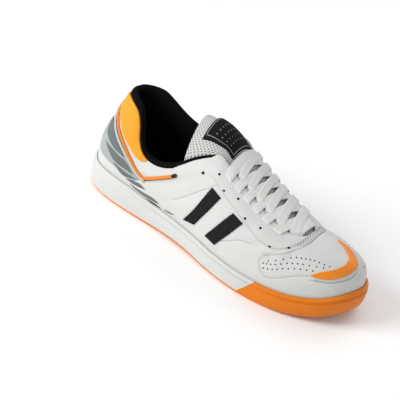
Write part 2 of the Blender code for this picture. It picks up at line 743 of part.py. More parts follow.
def build_piping(parts):
    """Narrow band of one width along its centre line, on both sides."""
    centre = through(PIPING)

    def on_line(u):
        s, t = centre(u)
        height = shell_point("lateral", s, 1)[2] - shell_point("lateral", s, 0)[2]
        return np.array([s * PATH_LENGTH, t * height]), height

    for label, sign in BOTH:
        def place(u, v, out, sign=sign):
            here, height = on_line(u)
            ahead, behind = on_line(min(u + STEP, 1))[0], on_line(max(u - STEP, 0))[0]
            along = (ahead - behind) / np.linalg.norm(ahead - behind)
            spot = here + np.array([-along[1], along[0]]) * (v - HALF) * PIPING_WIDTH
            return round_point(sign * spot[0] / PATH_LENGTH, spot[1] / height, out)
        sheet("piping" + label, place, PIPING_STEPS, 1, FIT_GAP, FIT_GAP + OVERLAY, parts, RUST)


def tongue_place(s, u, out):
    """Point off the tongue's top face, u running over its arch from outer to inner side."""
    def on(a, b):
        section = np.array(tongue_section(a))[LEG_STEPS:-LEG_STEPS]
        spot = min(max(b, 0), 1) * (len(section) - 1)
        k = min(int(spot), len(section) - 2)
        return section[k] + (section[k + 1] - section[k]) * (spot - k)
    normal = np.cross(on(s + STEP, u) - on(s - STEP, u), on(s, u + TONGUE_ASIDE) - on(s, u - TONGUE_ASIDE))
    return on(s, u) + normal / np.linalg.norm(normal) * out


def build_label(parts):
    low, high = LABEL
    across = CROWN_STEPS - 2

    def place(a, b, out):
        return tongue_place(low + (high - low) * a, (1 + across * b) / CROWN_STEPS, out)

    sheet("tongue_label", place, LABEL_STEPS, across, LABEL_GAP, LABEL_GAP + OVERLAY, parts, BLACK)


def instep_place(s, v, out):
    """Point over the instep: v runs from the outer eyelet (-1) over the throat to the inner one (1)."""
    if abs(v) >= THROAT_SHARE:
        side = "lateral" if v < 0 else "medial"
        t = 1 - (abs(v) - THROAT_SHARE) / (1 - THROAT_SHARE) * (1 - EYELET_T)
        return off_shell(side, s, t, out)
    first, last = (off_shell(side, s, 1, out) for side in SIDES)
    u = (v / THROAT_SHARE + 1) / 2
    point = first + (last - first) * u
    crown = TONGUE_AT(s)[1] * MM
    point[2] += (crown - LACE_SINK) * math.sin(math.pi * u)
    return point


def build_laces(parts, cutters):
    """Two families of crossing bars and two straight ones, joined into one solid."""
    bars = []
    for i in range(len(EYELETS) - 1):
        bars.append((EYELETS[i], EYELETS[i + 1], 1.0, LACE_LOW))
        bars.append((EYELETS[i + 1], EYELETS[i], LACE_SHORT, LACE_HIGH))
    bars.append((EYELETS[0], EYELETS[0], LACE_END, LACE_MIDDLE))
    bars.append((EYELETS[-1], EYELETS[-1], LACE_END, LACE_MIDDLE))
    first = None
    for number, (start, end, reach, lift) in enumerate(bars):
        def place(u, w, out, start=start, end=end, reach=reach):
            v = reach * (2 * u - 1)
            s = (start + end) / 2 + (end - start) / 2 * v
            return instep_place(s + (w - HALF) * LACE_WIDTH / PATH_LENGTH, v, out)
        if first is None:
            first = sheet("laces", place, LACE_STEPS, 1, lift, lift + LACE_THICK, parts, WHITE)
        else:
            other = sheet(f"lace_bar_{number}", place, LACE_STEPS, 1, lift, lift + LACE_THICK, cutters, None)
            combine(first, other, "UNION")


clear_scene()
PARTS = make_collection("soccer_shoe", False)
CUTTERS = make_collection("cutters", True)
build_sole(PARTS, CUTTERS)
build_insole(PARTS)
build_upper(PARTS)
build_tongue(PARTS)
build_overlays(PARTS)
build_piping(PARTS)
build_label(PARTS)
build_laces(PARTS, CUTTERS)
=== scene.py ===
# Looks of a white and orange indoor soccer shoe, the right foot's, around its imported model
import math
from functools import lru_cache

import bmesh
import bpy
import numpy as np
from mathutils import Matrix, Vector


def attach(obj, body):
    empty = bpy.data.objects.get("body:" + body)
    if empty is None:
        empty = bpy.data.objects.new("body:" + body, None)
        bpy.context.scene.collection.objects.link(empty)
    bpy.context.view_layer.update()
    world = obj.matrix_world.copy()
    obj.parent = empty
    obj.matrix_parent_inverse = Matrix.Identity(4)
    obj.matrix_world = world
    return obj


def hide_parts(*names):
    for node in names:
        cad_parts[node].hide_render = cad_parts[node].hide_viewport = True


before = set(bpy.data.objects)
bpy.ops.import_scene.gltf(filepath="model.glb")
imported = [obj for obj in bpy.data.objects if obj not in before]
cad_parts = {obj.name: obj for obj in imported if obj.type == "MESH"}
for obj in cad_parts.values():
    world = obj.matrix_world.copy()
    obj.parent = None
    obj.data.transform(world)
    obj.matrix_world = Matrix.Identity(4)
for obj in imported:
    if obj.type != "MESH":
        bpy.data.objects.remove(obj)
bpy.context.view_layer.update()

MM = 0.001

# Camera of the photograph, aimed at a point of the shoe: angles in degrees, lengths in metres
AIM = Vector((0.002, 0.0011, 0.045))
AZIMUTH = 27.97
ELEVATION = 32.96
ROLL = 14.744
DISTANCE = 1.185
SENSOR = 36.0
LENS = 115.03
SHIFT = (-0.0782, 0.0047)


def place_camera():
    a, e, r = (math.radians(v) for v in (AZIMUTH, ELEVATION, ROLL))
    back = Vector((math.sin(a) * math.cos(e), -math.cos(a) * math.cos(e), math.sin(e)))
    right = Vector((0, 0, 1)).cross(back).normalized()
    up = back.cross(right)
    rolled_right = right * math.cos(r) + up * math.sin(r)
    rolled_up = up * math.cos(r) - right * math.sin(r)
    data = bpy.data.cameras.new("camera")
    data.sensor_width = SENSOR
    data.lens = LENS
    data.shift_x, data.shift_y = SHIFT
    camera = bpy.data.objects.new("camera", data)
    bpy.context.scene.collection.objects.link(camera)
    turn = Matrix((rolled_right, rolled_up, back)).transposed().to_4x4()
    camera.matrix_world = Matrix.Translation(AIM + back * DISTANCE) @ turn
    bpy.context.scene.camera = camera


place_camera()

# The shoe's own sizes and curves, as its solids are made from
# Driving sizes
LENGTH = 0.295
HALF_BALL = 0.053
HEEL_TOP = 0.104
SOLE_HEEL = 0.026
TOE_SPRING = 0.012
ARCH_RISE = 0.0015
CUP_WALL = 0.0026
CUP_DEPTH = 0.008
FIT_GAP = 0.0003
WALL = 0.0022
COLLAR_PAD = 0.0056
TREAD_DEPTH = 0.0014
BASE_THICK = 0.0026
OVERLAY = 0.0011

# Ground outline from the heel's back to the toe's tip: share of LENGTH, share of HALF_BALL
OUTLINE = {
    "lateral": (
        (-0.008, 0.00), (0.004, -0.29), (0.042, -0.55), (0.108, -0.69), (0.203, -0.735), (0.339, -0.74),
        (0.458, -0.81), (0.559, -0.93), (0.661, -1.00), (0.763, -0.965), (0.847, -0.845), (0.920, -0.635),
        (0.962, -0.42), (0.989, -0.15), (1.000, 0.13),
    ),
    "medial": (
        (-0.008, 0.00), (0.004, 0.29), (0.042, 0.53), (0.108, 0.65), (0.203, 0.66), (0.339, 0.56),
        (0.458, 0.56), (0.559, 0.69), (0.661, 0.86), (0.729, 0.945), (0.814, 0.95), (0.885, 0.86),
        (0.947, 0.67), (0.984, 0.42), (1.000, 0.13),
    ),
}

# Sole lines: share of LENGTH, share of ARCH_RISE, share of TOE_SPRING, rim top as a share of SOLE_HEEL
SOLE = (
    (0.00, 0, 0.10, 1.02), (0.04, 0, 0.015, 1.01), (0.10, 0, 0, 1.00), (0.20, 0, 0, 0.95),
    (0.30, 0.4, 0, 0.84), (0.42, 1.0, 0, 0.76), (0.55, 0.2, 0, 0.715), (0.61, 0, 0, 0.705),
    (0.72, 0, 0, 0.70), (0.79, 0, 0.04, 0.72), (0.86, 0, 0.18, 0.78), (0.93, 0, 0.50, 0.95),
    (1.00, 0, 1.00, 1.30),
)

# Side wall of the sole: share of its height, then how far it stands out (mm) at heel, middle and toe
SIDE_WALL = (
    (0.00, 0.0, -0.4, 0.0), (0.07, 1.6, 0.6, 1.2), (0.35, 4.4, 0.9, 2.6), (0.66, 4.6, 0.2, 3.0),
    (0.80, 4.0, -0.3, 2.6), (0.835, 3.2, -1.1, 1.8), (0.87, 3.9, -0.4, 2.4), (0.95, 3.4, -0.7, 1.9),
    (1.00, 2.4, -1.4, 1.2),
)
HEEL_ZONE = 0.070
TOE_ZONE = 0.040

# Top line of the upper: path share, share of LENGTH, of HALF_BALL and of HEEL_TOP,
# then its profile: low handle's height share and bulge (mm), high handle's reach and drop shares
TOP = {
    "lateral": (
        (0.000, 0.058, 0.00, 0.990, 0.44, 7.0, 0.35, 0.32),
        (0.060, 0.070, -0.17, 1.000, 0.44, 6.0, 0.35, 0.32),
        (0.120, 0.102, -0.31, 0.992, 0.40, 4.5, 0.30, 0.32),
        (0.170, 0.141, -0.385, 0.935, 0.38, 3.0, 0.25, 0.34),
        (0.200, 0.160, -0.43, 0.835, 0.36, 2.5, 0.25, 0.36),
        (0.230, 0.175, -0.485, 0.710, 0.34, 2.5, 0.25, 0.36),
        (0.260, 0.200, -0.535, 0.618, 0.34, 2.5, 0.25, 0.36),
        (0.300, 0.238, -0.560, 0.580, 0.34, 2.5, 0.25, 0.36),
        (0.345, 0.288, -0.566, 0.605, 0.34, 2.5, 0.30, 0.36),
        (0.380, 0.338, -0.560, 0.690, 0.34, 2.5, 0.35, 0.36),
        (0.420, 0.393, -0.525, 0.835, 0.36, 3.0, 0.42, 0.32),
        (0.455, 0.440, -0.455, 0.922, 0.38, 3.5, 0.50, 0.26),
        (0.480, 0.468, -0.400, 0.940, 0.40, 4.0, 0.52, 0.22),
        (0.510, 0.500, -0.385, 0.890, 0.40, 4.0, 0.52, 0.20),
        (0.560, 0.560, -0.385, 0.795, 0.42, 3.5, 0.50, 0.17),
        (0.620, 0.632, -0.385, 0.695, 0.45, 3.0, 0.48, 0.14),
        (0.670, 0.700, -0.375, 0.622, 0.50, 2.5, 0.50, 0.10),
        (0.700, 0.748, -0.330, 0.588, 0.54, 2.5, 0.52, 0.06),
        (0.725, 0.785, -0.210, 0.585, 0.58, 2.5, 0.54, 0.02),
        (0.750, 0.804, 0.010, 0.592, 0.62, 2.5, 0.56, 0),
        (0.800, 0.822, 0.035, 0.585, 0.68, 2.5, 0.58, 0),
        (0.880, 0.846, 0.070, 0.573, 0.78, 2.5, 0.62, 0),
        (0.940, 0.866, 0.100, 0.560, 0.85, 2.5, 0.64, 0),
        (1.000, 0.886, 0.130, 0.543, 0.90, 2.5, 0.66, 0),
    ),
    "medial": (
        (0.000, 0.058, 0.00, 0.990, 0.44, 7.0, 0.35, 0.32),
        (0.060, 0.070, 0.17, 1.000, 0.44, 6.0, 0.35, 0.32),
        (0.120, 0.102, 0.30, 1.000, 0.40, 4.5, 0.30, 0.32),
        (0.170, 0.139, 0.365, 0.988, 0.38, 3.0, 0.25, 0.34),
        (0.210, 0.172, 0.40, 0.940, 0.36, 2.5, 0.25, 0.36),
        (0.250, 0.203, 0.45, 0.878, 0.34, 2.5, 0.25, 0.36),
        (0.290, 0.238, 0.50, 0.822, 0.34, 2.5, 0.25, 0.36),
        (0.335, 0.285, 0.535, 0.785, 0.34, 2.5, 0.30, 0.36),
        (0.380, 0.336, 0.535, 0.805, 0.34, 2.5, 0.35, 0.36),
        (0.420, 0.392, 0.505, 0.880, 0.36, 3.0, 0.42, 0.32),
        (0.455, 0.440, 0.455, 0.938, 0.38, 3.5, 0.50, 0.26),
        (0.480, 0.468, 0.410, 0.950, 0.40, 4.0, 0.52, 0.22),
        (0.510, 0.500, 0.375, 0.905, 0.40, 4.0, 0.52, 0.20),
        (0.560, 0.560, 0.360, 0.820, 0.42, 3.5, 0.50, 0.17),
        (0.620, 0.632, 0.345, 0.727, 0.45, 3.0, 0.48, 0.14),
        (0.670, 0.700, 0.325, 0.655, 0.50, 2.5, 0.50, 0.10),
        (0.700, 0.748, 0.280, 0.615, 0.54, 2.5, 0.52, 0.06),
        (0.725, 0.785, 0.180, 0.597, 0.58, 2.5, 0.54, 0.02),
        (0.750, 0.804, 0.010, 0.592, 0.62, 2.5, 0.56, 0),
        (0.800, 0.822, 0.035, 0.585, 0.68, 2.5, 0.58, 0),
        (0.880, 0.846, 0.070, 0.573, 0.78, 2.5, 0.62, 0),
        (0.940, 0.866, 0.100, 0.560, 0.85, 2.5, 0.64, 0),
        (1.000, 0.886, 0.130, 0.543, 0.90, 2.5, 0.66, 0),
    ),
}

THROAT_END = 0.75
PATH_ZONES = ((0.0, 0.12, 7), (0.12, THROAT_END, 21), (THROAT_END, 0.90, 5), (0.90, 1.0, 5))


def through(rows):
    """A smooth function through rows of (key, value, value, ...)."""
    table = np.array(rows, float)
    keys, values = table[:, 0], table[:, 1:]
    slopes = np.empty_like(values)
    slopes[1:-1] = (values[2:] - values[:-2]) / (keys[2:] - keys[:-2])[:, None]
    slopes[0] = (values[1] - values[0]) / (keys[1] - keys[0])
    slopes[-1] = (values[-1] - values[-2]) / (keys[-1] - keys[-2])

    def value(key):
        key = min(max(key, keys[0]), keys[-1])
        i = min(int(np.searchsorted(keys, key, side="right")) - 1, len(keys) - 2)
        return hermite(keys[i + 1] - keys[i], (key - keys[i]) / (keys[i + 1] - keys[i]),
                       values[i], values[i + 1], slopes[i], slopes[i + 1])

    return value


def hermite(gap, u, first, last, slope_first, slope_last):
    return (
        (2 * u**3 - 3 * u**2 + 1) * first
        + (u**3 - 2 * u**2 + u) * gap * slope_first
        + (3 * u**2 - 2 * u**3) * last
        + (u**3 - u**2) * gap * slope_last
    )


def outline_curve(side):
    """Ground outline of one side by its path share, square to the centre line at both ends."""
    points = np.array(OUTLINE[side], float) * (LENGTH, HALF_BALL)
    steps = np.linalg.norm(np.diff(points, axis=0), axis=1)
    path = np.concatenate([[0], np.cumsum(steps)]) / steps.sum()
    slopes = np.empty_like(points)
    slopes[1:-1] = (points[2:] - points[:-2]) / (path[2:] - path[:-2])[:, None]
    turn = -1.0 if side == "lateral" else 1.0
    slopes[0] = (0, turn * np.linalg.norm(slopes[1]))
    slopes[-1] = (0, -turn * np.linalg.norm(slopes[-2]))

    def value(s):
        s = min(max(s, 0), 1)
        i = min(int(np.searchsorted(path, s, side="right")) - 1, len(path) - 2)
        gap = path[i + 1] - path[i]
        return hermite(gap, (s - path[i]) / gap, points[i], points[i + 1], slopes[i], slopes[i + 1])

    return value


CURVES = {side: outline_curve(side) for side in OUTLINE}
SOLE_AT = through(SOLE)
SIDE_WALL_AT = through(SIDE_WALL)
TOP_AT = {side: through(rows) for side, rows in TOP.items()}
STEP = 0.001


@lru_cache(maxsize=None)
def outwards(side, s):
    """Level unit direction out of the outline."""
    turn = 1.0 if side == "lateral" else -1.0
    if s < STEP:
        return Vector((-1.0, 0.0))
    if s > 1 - STEP:
        return Vector((1.0, 0.0))
    along = Vector(CURVES[side](s + STEP) - CURVES[side](s - STEP)).normalized()
    return Vector((along.y, -along.x)) * turn


@lru_cache(maxsize=None)
def ground_x(side, s):
    return float(CURVES[side](s)[0])


def outline(side, s, out=0.0):
    return Vector(CURVES[side](s)) + outwards(side, s) * out


@lru_cache(maxsize=None)
def sole_line(x):
    return [float(value) for value in SOLE_AT(x / LENGTH)]


def ground_line(x):
    arch, spring, _ = sole_line(x)
    return max(arch * ARCH_RISE + spring * TOE_SPRING, 0.0)


def rim_line(x):
    return sole_line(x)[2] * SOLE_HEEL


def footbed(x):
    return rim_line(x) - CUP_DEPTH


@lru_cache(maxsize=None)
def side_out(x, share):
    """How far the sole's side stands out at this length and share of its height."""
    heel, middle, toe = SIDE_WALL_AT(share)
    at_heel = min(max((HEEL_ZONE - x) / HEEL_ZONE, 0), 1) ** 2
    at_toe = min(max((x - LENGTH + TOE_ZONE) / TOE_ZONE, 0), 1) ** 2
    return (middle + (heel - middle) * at_heel + (toe - middle) * at_toe) * MM


def side_point(side, s, share):
    x = ground_x(side, s)
    foot = outline(side, s, side_out(x, share))
    low, high = ground_line(x), rim_line(x)
    return Vector((foot.x, foot.y, low + (high - low) * share))


def ridge_slope(s):
    """Rise per length of the closed ridge between throat and toe."""
    if s < THROAT_END:
        return 0.0
    before = TOP_AT["lateral"](max(s - 0.03, THROAT_END))
    after = TOP_AT["lateral"](min(s + 0.03, 1))
    return float((after[2] - before[2]) * HEEL_TOP / ((after[0] - before[0]) * LENGTH))


@lru_cache(maxsize=None)
def profile_handles(side, s):
    """The four points that carry the upper's profile curve at a path share."""
    x, y, z, rise, bulge, reach, drop = (float(value) for value in TOP_AT[side](s))
    top = Vector((x * LENGTH, y * HALF_BALL, z * HEEL_TOP))
    foot_x = ground_x(side, s)
    foot = outline(side, s, side_out(foot_x, 1) - CUP_WALL - FIT_GAP)
    low = Vector((foot.x, foot.y, footbed(foot_x) + FIT_GAP))
    out = outwards(side, s)
    height = top.z - low.z
    first = low + Vector((out.x * bulge * MM, out.y * bulge * MM, rise * height))
    second = top.copy()
    second.xy += (low.xy - top.xy) * reach
    second.z += ridge_slope(s) * (second.x - top.x) - drop * height
    return low, first, second, top


def shell_point(side, s, t):
    """Outer face of the upper: s runs from heel to toe, t from its foot to its top line."""
    low, first, second, top = profile_handles(side, s)
    u = 1 - t
    return low * u**3 + first * (3 * u**2 * t) + second * (3 * u * t**2) + top * t**3


def one_side_normal(side, s, t):
    along = shell_point(side, min(s + STEP, 1), t) - shell_point(side, max(s - STEP, 0), t)
    if s > 1 - STEP:
        along = Vector((0.0, 1.0 if side == "lateral" else -1.0, 0.0))
    up = shell_point(side, s, min(t + STEP, 1)) - shell_point(side, s, max(t - STEP, 0))
    normal = along.cross(up) if side == "lateral" else up.cross(along)
    return normal.normalized()


@lru_cache(maxsize=None)
def shell_normal(side, s, t):
    """Outward normal, shared by both sides where they meet."""
    normal = one_side_normal(side, s, t)
    if s < STEP or s > 1 - STEP or (t > 1 - STEP and s > THROAT_END - STEP):
        normal = normal + one_side_normal("medial" if side == "lateral" else "lateral", s, t)
    return normal.normalized()


def smooth_step(value, low, high):
    share = min(max((value - low) / (high - low), 0), 1)
    return share * share * (3 - 2 * share)


def wall_at(s, t):
    """Thickness of the upper: padded towards the collar's edge."""
    return WALL + (COLLAR_PAD - WALL) * smooth_step(t, 0.35, 0.85) * (1 - smooth_step(s, 0.36, 0.46))


def off_shell(side, s, t, out):
    return shell_point(side, s, t) + shell_normal(side, s, t) * out


def path_rows():
    rows = [0.0]
    for low, high, steps in PATH_ZONES:
        rows += [low + (high - low) * (i + 1) / steps for i in range(steps)]
    return rows


ROWS = path_rows()

SIDES = ("lateral", "medial")

# Tongue: path share, its legs' foot as a profile share, crown above the edges and thickness (mm), roundness
TONGUE = (
    (0.395, 0.93, 34.0, 6.0, 0.62), (0.430, 0.88, 25.0, 6.5, 0.66), (0.465, 0.86, 13.5, 6.0, 0.80),
    (0.500, 0.87, 9.0, 4.8, 0.95), (0.560, 0.88, 7.5, 4.0, 1.0), (0.620, 0.88, 6.5, 3.4, 1.0),
    (0.680, 0.86, 4.6, 2.8, 1.0), (0.720, 0.84, 2.4, 2.2, 1.0), (0.745, 0.82, 0.6, 2.0, 1.0),
    (0.770, 0.82, 0.0, 1.8, 1.0),
)

LEG_TOP = 0.985
TONGUE_GAP = 0.0006
TONGUE_AT = through(TONGUE)

# Split between the white side wall and the orange sole
SPLIT_LOW = 0.201
SPLIT_HIGH = 0.2165

# Tread: its centres by share of LENGTH and of HALF_BALL
RIM_BAND = 0.0115
CENTRES = {"ball": (0.700, 0.36), "heel": (0.145, 0.00)}
# Discs about a centre: radius and hole radius (mm)
DISCS = (("ball", 20.0, 16.5), ("heel", 12.0, 9.0), ("heel", 6.0, 0.0))
# Lugs on arcs about a centre: arc radius (mm), first and last angle, count, lug radius (mm)
LUG_ARCS = (
    ("ball", 60.5, 9, 138, 7, 7.6), ("ball", 46.5, 0, 150, 9, 5.2), ("ball", 34.5, -6, 170, 9, 4.0),
    ("heel", 22.0, 60, 300, 7, 4.4),
)

# Overlays, a row per station: share, then both edges as a signed path share and a profile share
BOTH = (("_outer", 1), ("_inner", -1))
OVERLAYS = {
    "toe_crescent": ((
        (0.00, 0.829, 0.368, 0.830, 0.380), (0.12, 0.856, 0.350, 0.858, 0.450),
        (0.25, 0.888, 0.352, 0.888, 0.500), (0.38, 0.920, 0.385, 0.918, 0.560),
        (0.50, 0.948, 0.440, 0.944, 0.630), (0.62, 0.976, 0.515, 0.970, 0.720),
        (0.74, 1.010, 0.600, 1.000, 0.790), (0.87, 1.060, 0.690, 1.060, 0.825),
        (1.00, 1.138, 0.805, 1.139, 0.820),
    ), (("", 1),)),
    "counter": ((
        (0.00, 0.066, 0.360, 0.060, 0.600), (0.25, 0.082, 0.230, 0.098, 0.545),
        (0.50, 0.120, 0.200, 0.140, 0.475), (0.75, 0.175, 0.210, 0.190, 0.425),
        (1.00, 0.232, 0.270, 0.262, 0.455),
    ), BOTH),
    "collar_panel": ((
        (0.00, 0.043, 0.820, 0.043, 0.957), (0.15, 0.068, 0.765, 0.075, 0.957),
        (0.30, 0.098, 0.695, 0.110, 0.957), (0.45, 0.130, 0.622, 0.150, 0.957),
        (0.60, 0.162, 0.566, 0.190, 0.957), (0.72, 0.195, 0.578, 0.220, 0.957),
        (0.84, 0.225, 0.650, 0.250, 0.957), (0.93, 0.252, 0.760, 0.272, 0.957),
        (1.00, 0.285, 0.925, 0.290, 0.957),
    ), BOTH),
    "front_band": ((
        (0.00, 0.505, 0.180, 0.547, 0.180), (0.50, 0.538, 0.400, 0.580, 0.400),
        (1.00, 0.566, 0.620, 0.606, 0.620),
    ), BOTH),
    "rear_band": ((
        (0.00, 0.420, 0.190, 0.462, 0.190), (0.50, 0.453, 0.400, 0.495, 0.400),
        (1.00, 0.481, 0.630, 0.521, 0.630),
    ), BOTH),
}

# Width of the piping beside the collar panel, and the label's gap over the tongue
PIPING_WIDTH = 0.0036
LABEL_GAP = 0.0007

# Laces: eyelet rows by path share, where they sit on the profile, and the bars' own sizes
EYELETS = (0.714, 0.682, 0.650, 0.618, 0.586, 0.553, 0.520)
THROAT_SHARE = 0.74
PATH_LENGTH = 0.345
LACE_THICK = 0.0013
LACE_LOW = 0.0006
LACE_HIGH = 0.0011
LACE_MIDDLE = 0.0008
LACE_SINK = 0.0012
LACE_END = 0.99


def sole_middle():
    """Middle of the sole's outline box: the shoe stands with it on the origin."""
    points = [side_point(side, s, row[0]).xy for side in SIDES for s in ROWS for row in SIDE_WALL]
    low, high = np.min(points, axis=0), np.max(points, axis=0)
    return np.append((low + high) / 2, 0.0)


HOME = Vector(sole_middle())


# Finer numbers of the dressed shoe
FINE_PATH = 300
FINE_PROFILE = 84
LINING_ROWS = 10
RIM_ROWS = 6
SMOOTH_ANGLE = math.radians(42)
WELD = 1e-6

# Soft creases of the white leather: path and profile shares of both ends, half width and depth (mm)
CREASES = (
    (0.56, 0.30, 0.66, 0.52, 5.0, 0.55), (0.60, 0.22, 0.70, 0.40, 4.5, 0.50),
    (0.50, 0.55, 0.62, 0.66, 5.0, 0.40), (0.36, 0.40, 0.47, 0.60, 6.0, 0.45),
    (0.40, 0.20, 0.52, 0.30, 6.0, 0.35), (0.66, 0.55, 0.74, 0.74, 3.5, 0.35),
    (0.80, 0.72, 0.88, 0.55, 5.0, 0.30), (0.28, 0.60, 0.40, 0.74, 5.0, 0.40),
)
# Soft swellings, in the same columns: the padded quarter, the toe box's crown
SWELLS = (
    (0.30, 0.72, 0.42, 0.86, 7.0, 0.7), (0.44, 0.80, 0.60, 0.70, 8.0, 0.5),
    (0.84, 0.30, 0.96, 0.30, 9.0, 0.6),
)
PROFILE_LENGTH = 0.075

# Seams pressed into the leather (mm), and the raised eyestay: its lower edge by path and profile share
GROOVE_HALF = 1.0
GROOVE_DEEP = 0.32
EYESTAY_EDGE = (
    (0.40, 0.86), (0.450, 0.775), (0.500, 0.70), (0.560, 0.68), (0.620, 0.64), (0.665, 0.60), (0.700, 0.62),
    (0.728, 0.70), (0.745, 0.80),
)
EYESTAY_START = (0.425, 0.445)
EYESTAY_STOP = (0.738, 0.750)
EYESTAY_RISE = 0.0006
EYESTAY_EASE = 0.014
PATH_STEP = 0.01

# Stitched seams: path and profile shares along each
SEAMS = {
    "quarter_upper": ((0.376, 0.44), (0.400, 0.475), (0.425, 0.52), (0.452, 0.57), (0.477, 0.62),
                      (0.495, 0.70)),
    "quarter_lower": ((0.523, 0.19), (0.545, 0.23), (0.569, 0.29), (0.593, 0.37), (0.615, 0.44),
                      (0.65, 0.50)),
    "throat_front": ((0.680, 0.475), (0.712, 0.545), (0.737, 0.610), (0.762, 0.710), (0.777, 0.840),
                     (0.781, 1.0)),
    "vamp_end": ((0.700, 0.500), (0.684, 0.450), (0.681, 0.380), (0.690, 0.290), (0.712, 0.215),
                 (0.735, 0.215)),
    "vamp_lower": ((0.735, 0.215), (0.753, 0.250), (0.785, 0.315), (0.808, 0.345), (0.828, 0.360)),
    "toe_lower": ((0.828, 0.315), (0.860, 0.305), (0.896, 0.300), (0.930, 0.320), (0.955, 0.360),
                  (0.984, 0.460)),
    "eyelet_row": ((0.470, 0.74), (0.500, 0.70), (0.560, 0.68), (0.620, 0.64), (0.665, 0.60), (0.700, 0.62),
                   (0.728, 0.70)),
}
STITCHED = ("throat_front", "vamp_end", "vamp_lower", "eyelet_row", "toe_lower")
SEAM_WIDTH = 0.0007
STITCH_PITCH = 0.0024
STITCH_LENGTH = 0.0015
STITCH_WIDTH = 0.00055
STITCH_ASIDE = 0.0016

# Pinholes of the vamp: both ends of each row by path and profile share, and how many
PINHOLES = (
    ((0.703, 0.425), (0.745, 0.515), (0.788, 0.570), (0.831, 0.590), (0.884, 0.560), 12),
    ((0.694, 0.370), (0.720, 0.400), (0.756, 0.450), (0.800, 0.495), (0.863, 0.520), 12),
    ((0.700, 0.310), (0.725, 0.335), (0.753, 0.370), (0.790, 0.420), (0.832, 0.440), 10),
)
PINHOLE = 0.0007
EYELET_HOLES = (
    (0.446, 0.79, 1.6), (0.491, 0.81, 1.2), (0.521, 0.72, 1.2), (0.565, 0.80, 1.2), (0.604, 0.69, 1.2),
    (0.649, 0.745, 1.2), (0.688, 0.62, 1.3), (0.724, 0.70, 1.3),
)

# Printed leaves over the heel: upper and lower edge by path and profile share, then their colour
BLADES = (
    (((0.069, 0.592), (0.102, 0.576), (0.120, 0.536), (0.156, 0.472), (0.180, 0.424), (0.188, 0.405)),
     ((0.069, 0.592), (0.075, 0.490), (0.090, 0.430), (0.117, 0.395), (0.150, 0.376), (0.188, 0.405)),
     "slate"),
    (((0.100, 0.365), (0.138, 0.362), (0.171, 0.368), (0.192, 0.398), (0.213, 0.415), (0.240, 0.416)),
     ((0.100, 0.365), (0.128, 0.305), (0.153, 0.262), (0.183, 0.275), (0.213, 0.338), (0.240, 0.416)),
     "slate"),
    (((0.155, 0.238), (0.180, 0.254), (0.207, 0.294), (0.232, 0.360), (0.256, 0.428)),
     ((0.155, 0.238), (0.176, 0.215), (0.200, 0.212), (0.226, 0.285), (0.256, 0.428)), "slate"),
)
WHITE_BLADES = (
    (((0.207, 0.195), (0.231, 0.275), (0.258, 0.368), (0.273, 0.384), (0.290, 0.358)),
     ((0.207, 0.195), (0.225, 0.215), (0.240, 0.240), (0.264, 0.296), (0.290, 0.358)), "slate"),
    (((0.222, 0.190), (0.252, 0.235), (0.282, 0.275), (0.318, 0.304), (0.341, 0.248)),
     ((0.222, 0.190), (0.250, 0.185), (0.285, 0.200), (0.318, 0.222), (0.341, 0.248)), "umber"),
    (((0.286, 0.180), (0.306, 0.205), (0.325, 0.210), (0.352, 0.190)),
     ((0.286, 0.180), (0.306, 0.172), (0.328, 0.172), (0.352, 0.190)), "ink"),

    (((0.350, 0.205), (0.368, 0.215), (0.396, 0.200)), ((0.350, 0.205), (0.372, 0.180), (0.396, 0.200)),
     "slate"),
)


# Edges, prints and small heights
PLATE_EDGE = 0.0009
RIM_ROUND = 0.45
ROLL_DOWN = 0.05
ROLL_FADE = (0.365, 0.385)
EDGE_DOWN = 0.026
EDGE_FADE = (0.452, 0.464)
EDGE_BLACK = 0.462
SEAM_RISE = 0.00025
HOLE_DEEP = 0.0006
HOLE_PROUD = 0.00008
PANEL_PUFF = 0.0012
SKIN_LOW = -0.0004
PRINT = 0.0003
TEETH = 17
TOOTH = 0.16
TONGUE_LEG = 0.12
TONGUE_REACH = 0.01
TONGUE_ROLL = 0.022
LACE_DIP = 0.0026
LACE_FOOT = 0.845
LACE_TAPER = 0.2
LACE_FOLD = 0.0002
LACE_TUCK = 0.79
LACE_BAND = 0.0070
LACE_UNDER = 0.0052
LACE_CUP = 0.0003
THROAT_MESH = ((0.0, 0.736, 0.27), (0.3, 0.747, 0.29), (0.6, 0.760, 0.26), (0.85, 0.772, 0.18),
               (1.0, 0.778, 0.06))
TOE_TICKS = ((0.842, 0.325), (0.868, 0.312), (0.896, 0.308), (0.925, 0.325), (0.950, 0.358), (0.968, 0.400))
TICK_COUNT = 30
TICK_SIZE = (0.0021, 0.0007)
LACE_EDGE = 0.0008
PIPING_UPPER = (
    (0.036, 0.820), (0.065, 0.725), (0.100, 0.640), (0.132, 0.568), (0.159, 0.520), (0.192, 0.496),
    (0.234, 0.522), (0.281, 0.548),
)
PIPING_LOWER = ((0.275, 0.530), (0.292, 0.605), (0.312, 0.682), (0.339, 0.765), (0.360, 0.806),
                (0.376, 0.826))
PIPING_TIP = ((0.370, 0.819), (0.377, 0.829), (0.384, 0.840))
PALE_ASIDE = -0.0036
PALE_WIDTH = 0.0026
PALE_RISE = 0.0009
SHADE_ASIDE = -0.0016
PIPING_NARROW = 0.0032
LABEL_SPAN = (0.410, 0.505)
LABEL_ACROSS = (0.15, 0.87)
LABEL_LINES = (
    (0.05, 0.075, 0.07, 0.93), (0.925, 0.95, 0.07, 0.93), (0.075, 0.925, 0.07, 0.09),
    (0.075, 0.925, 0.91, 0.93),
)

LABEL_DOTS = (4, 7)
DOT_PITCH = (0.15, 0.11)
DOT_SIZE = (0.045, 0.032)

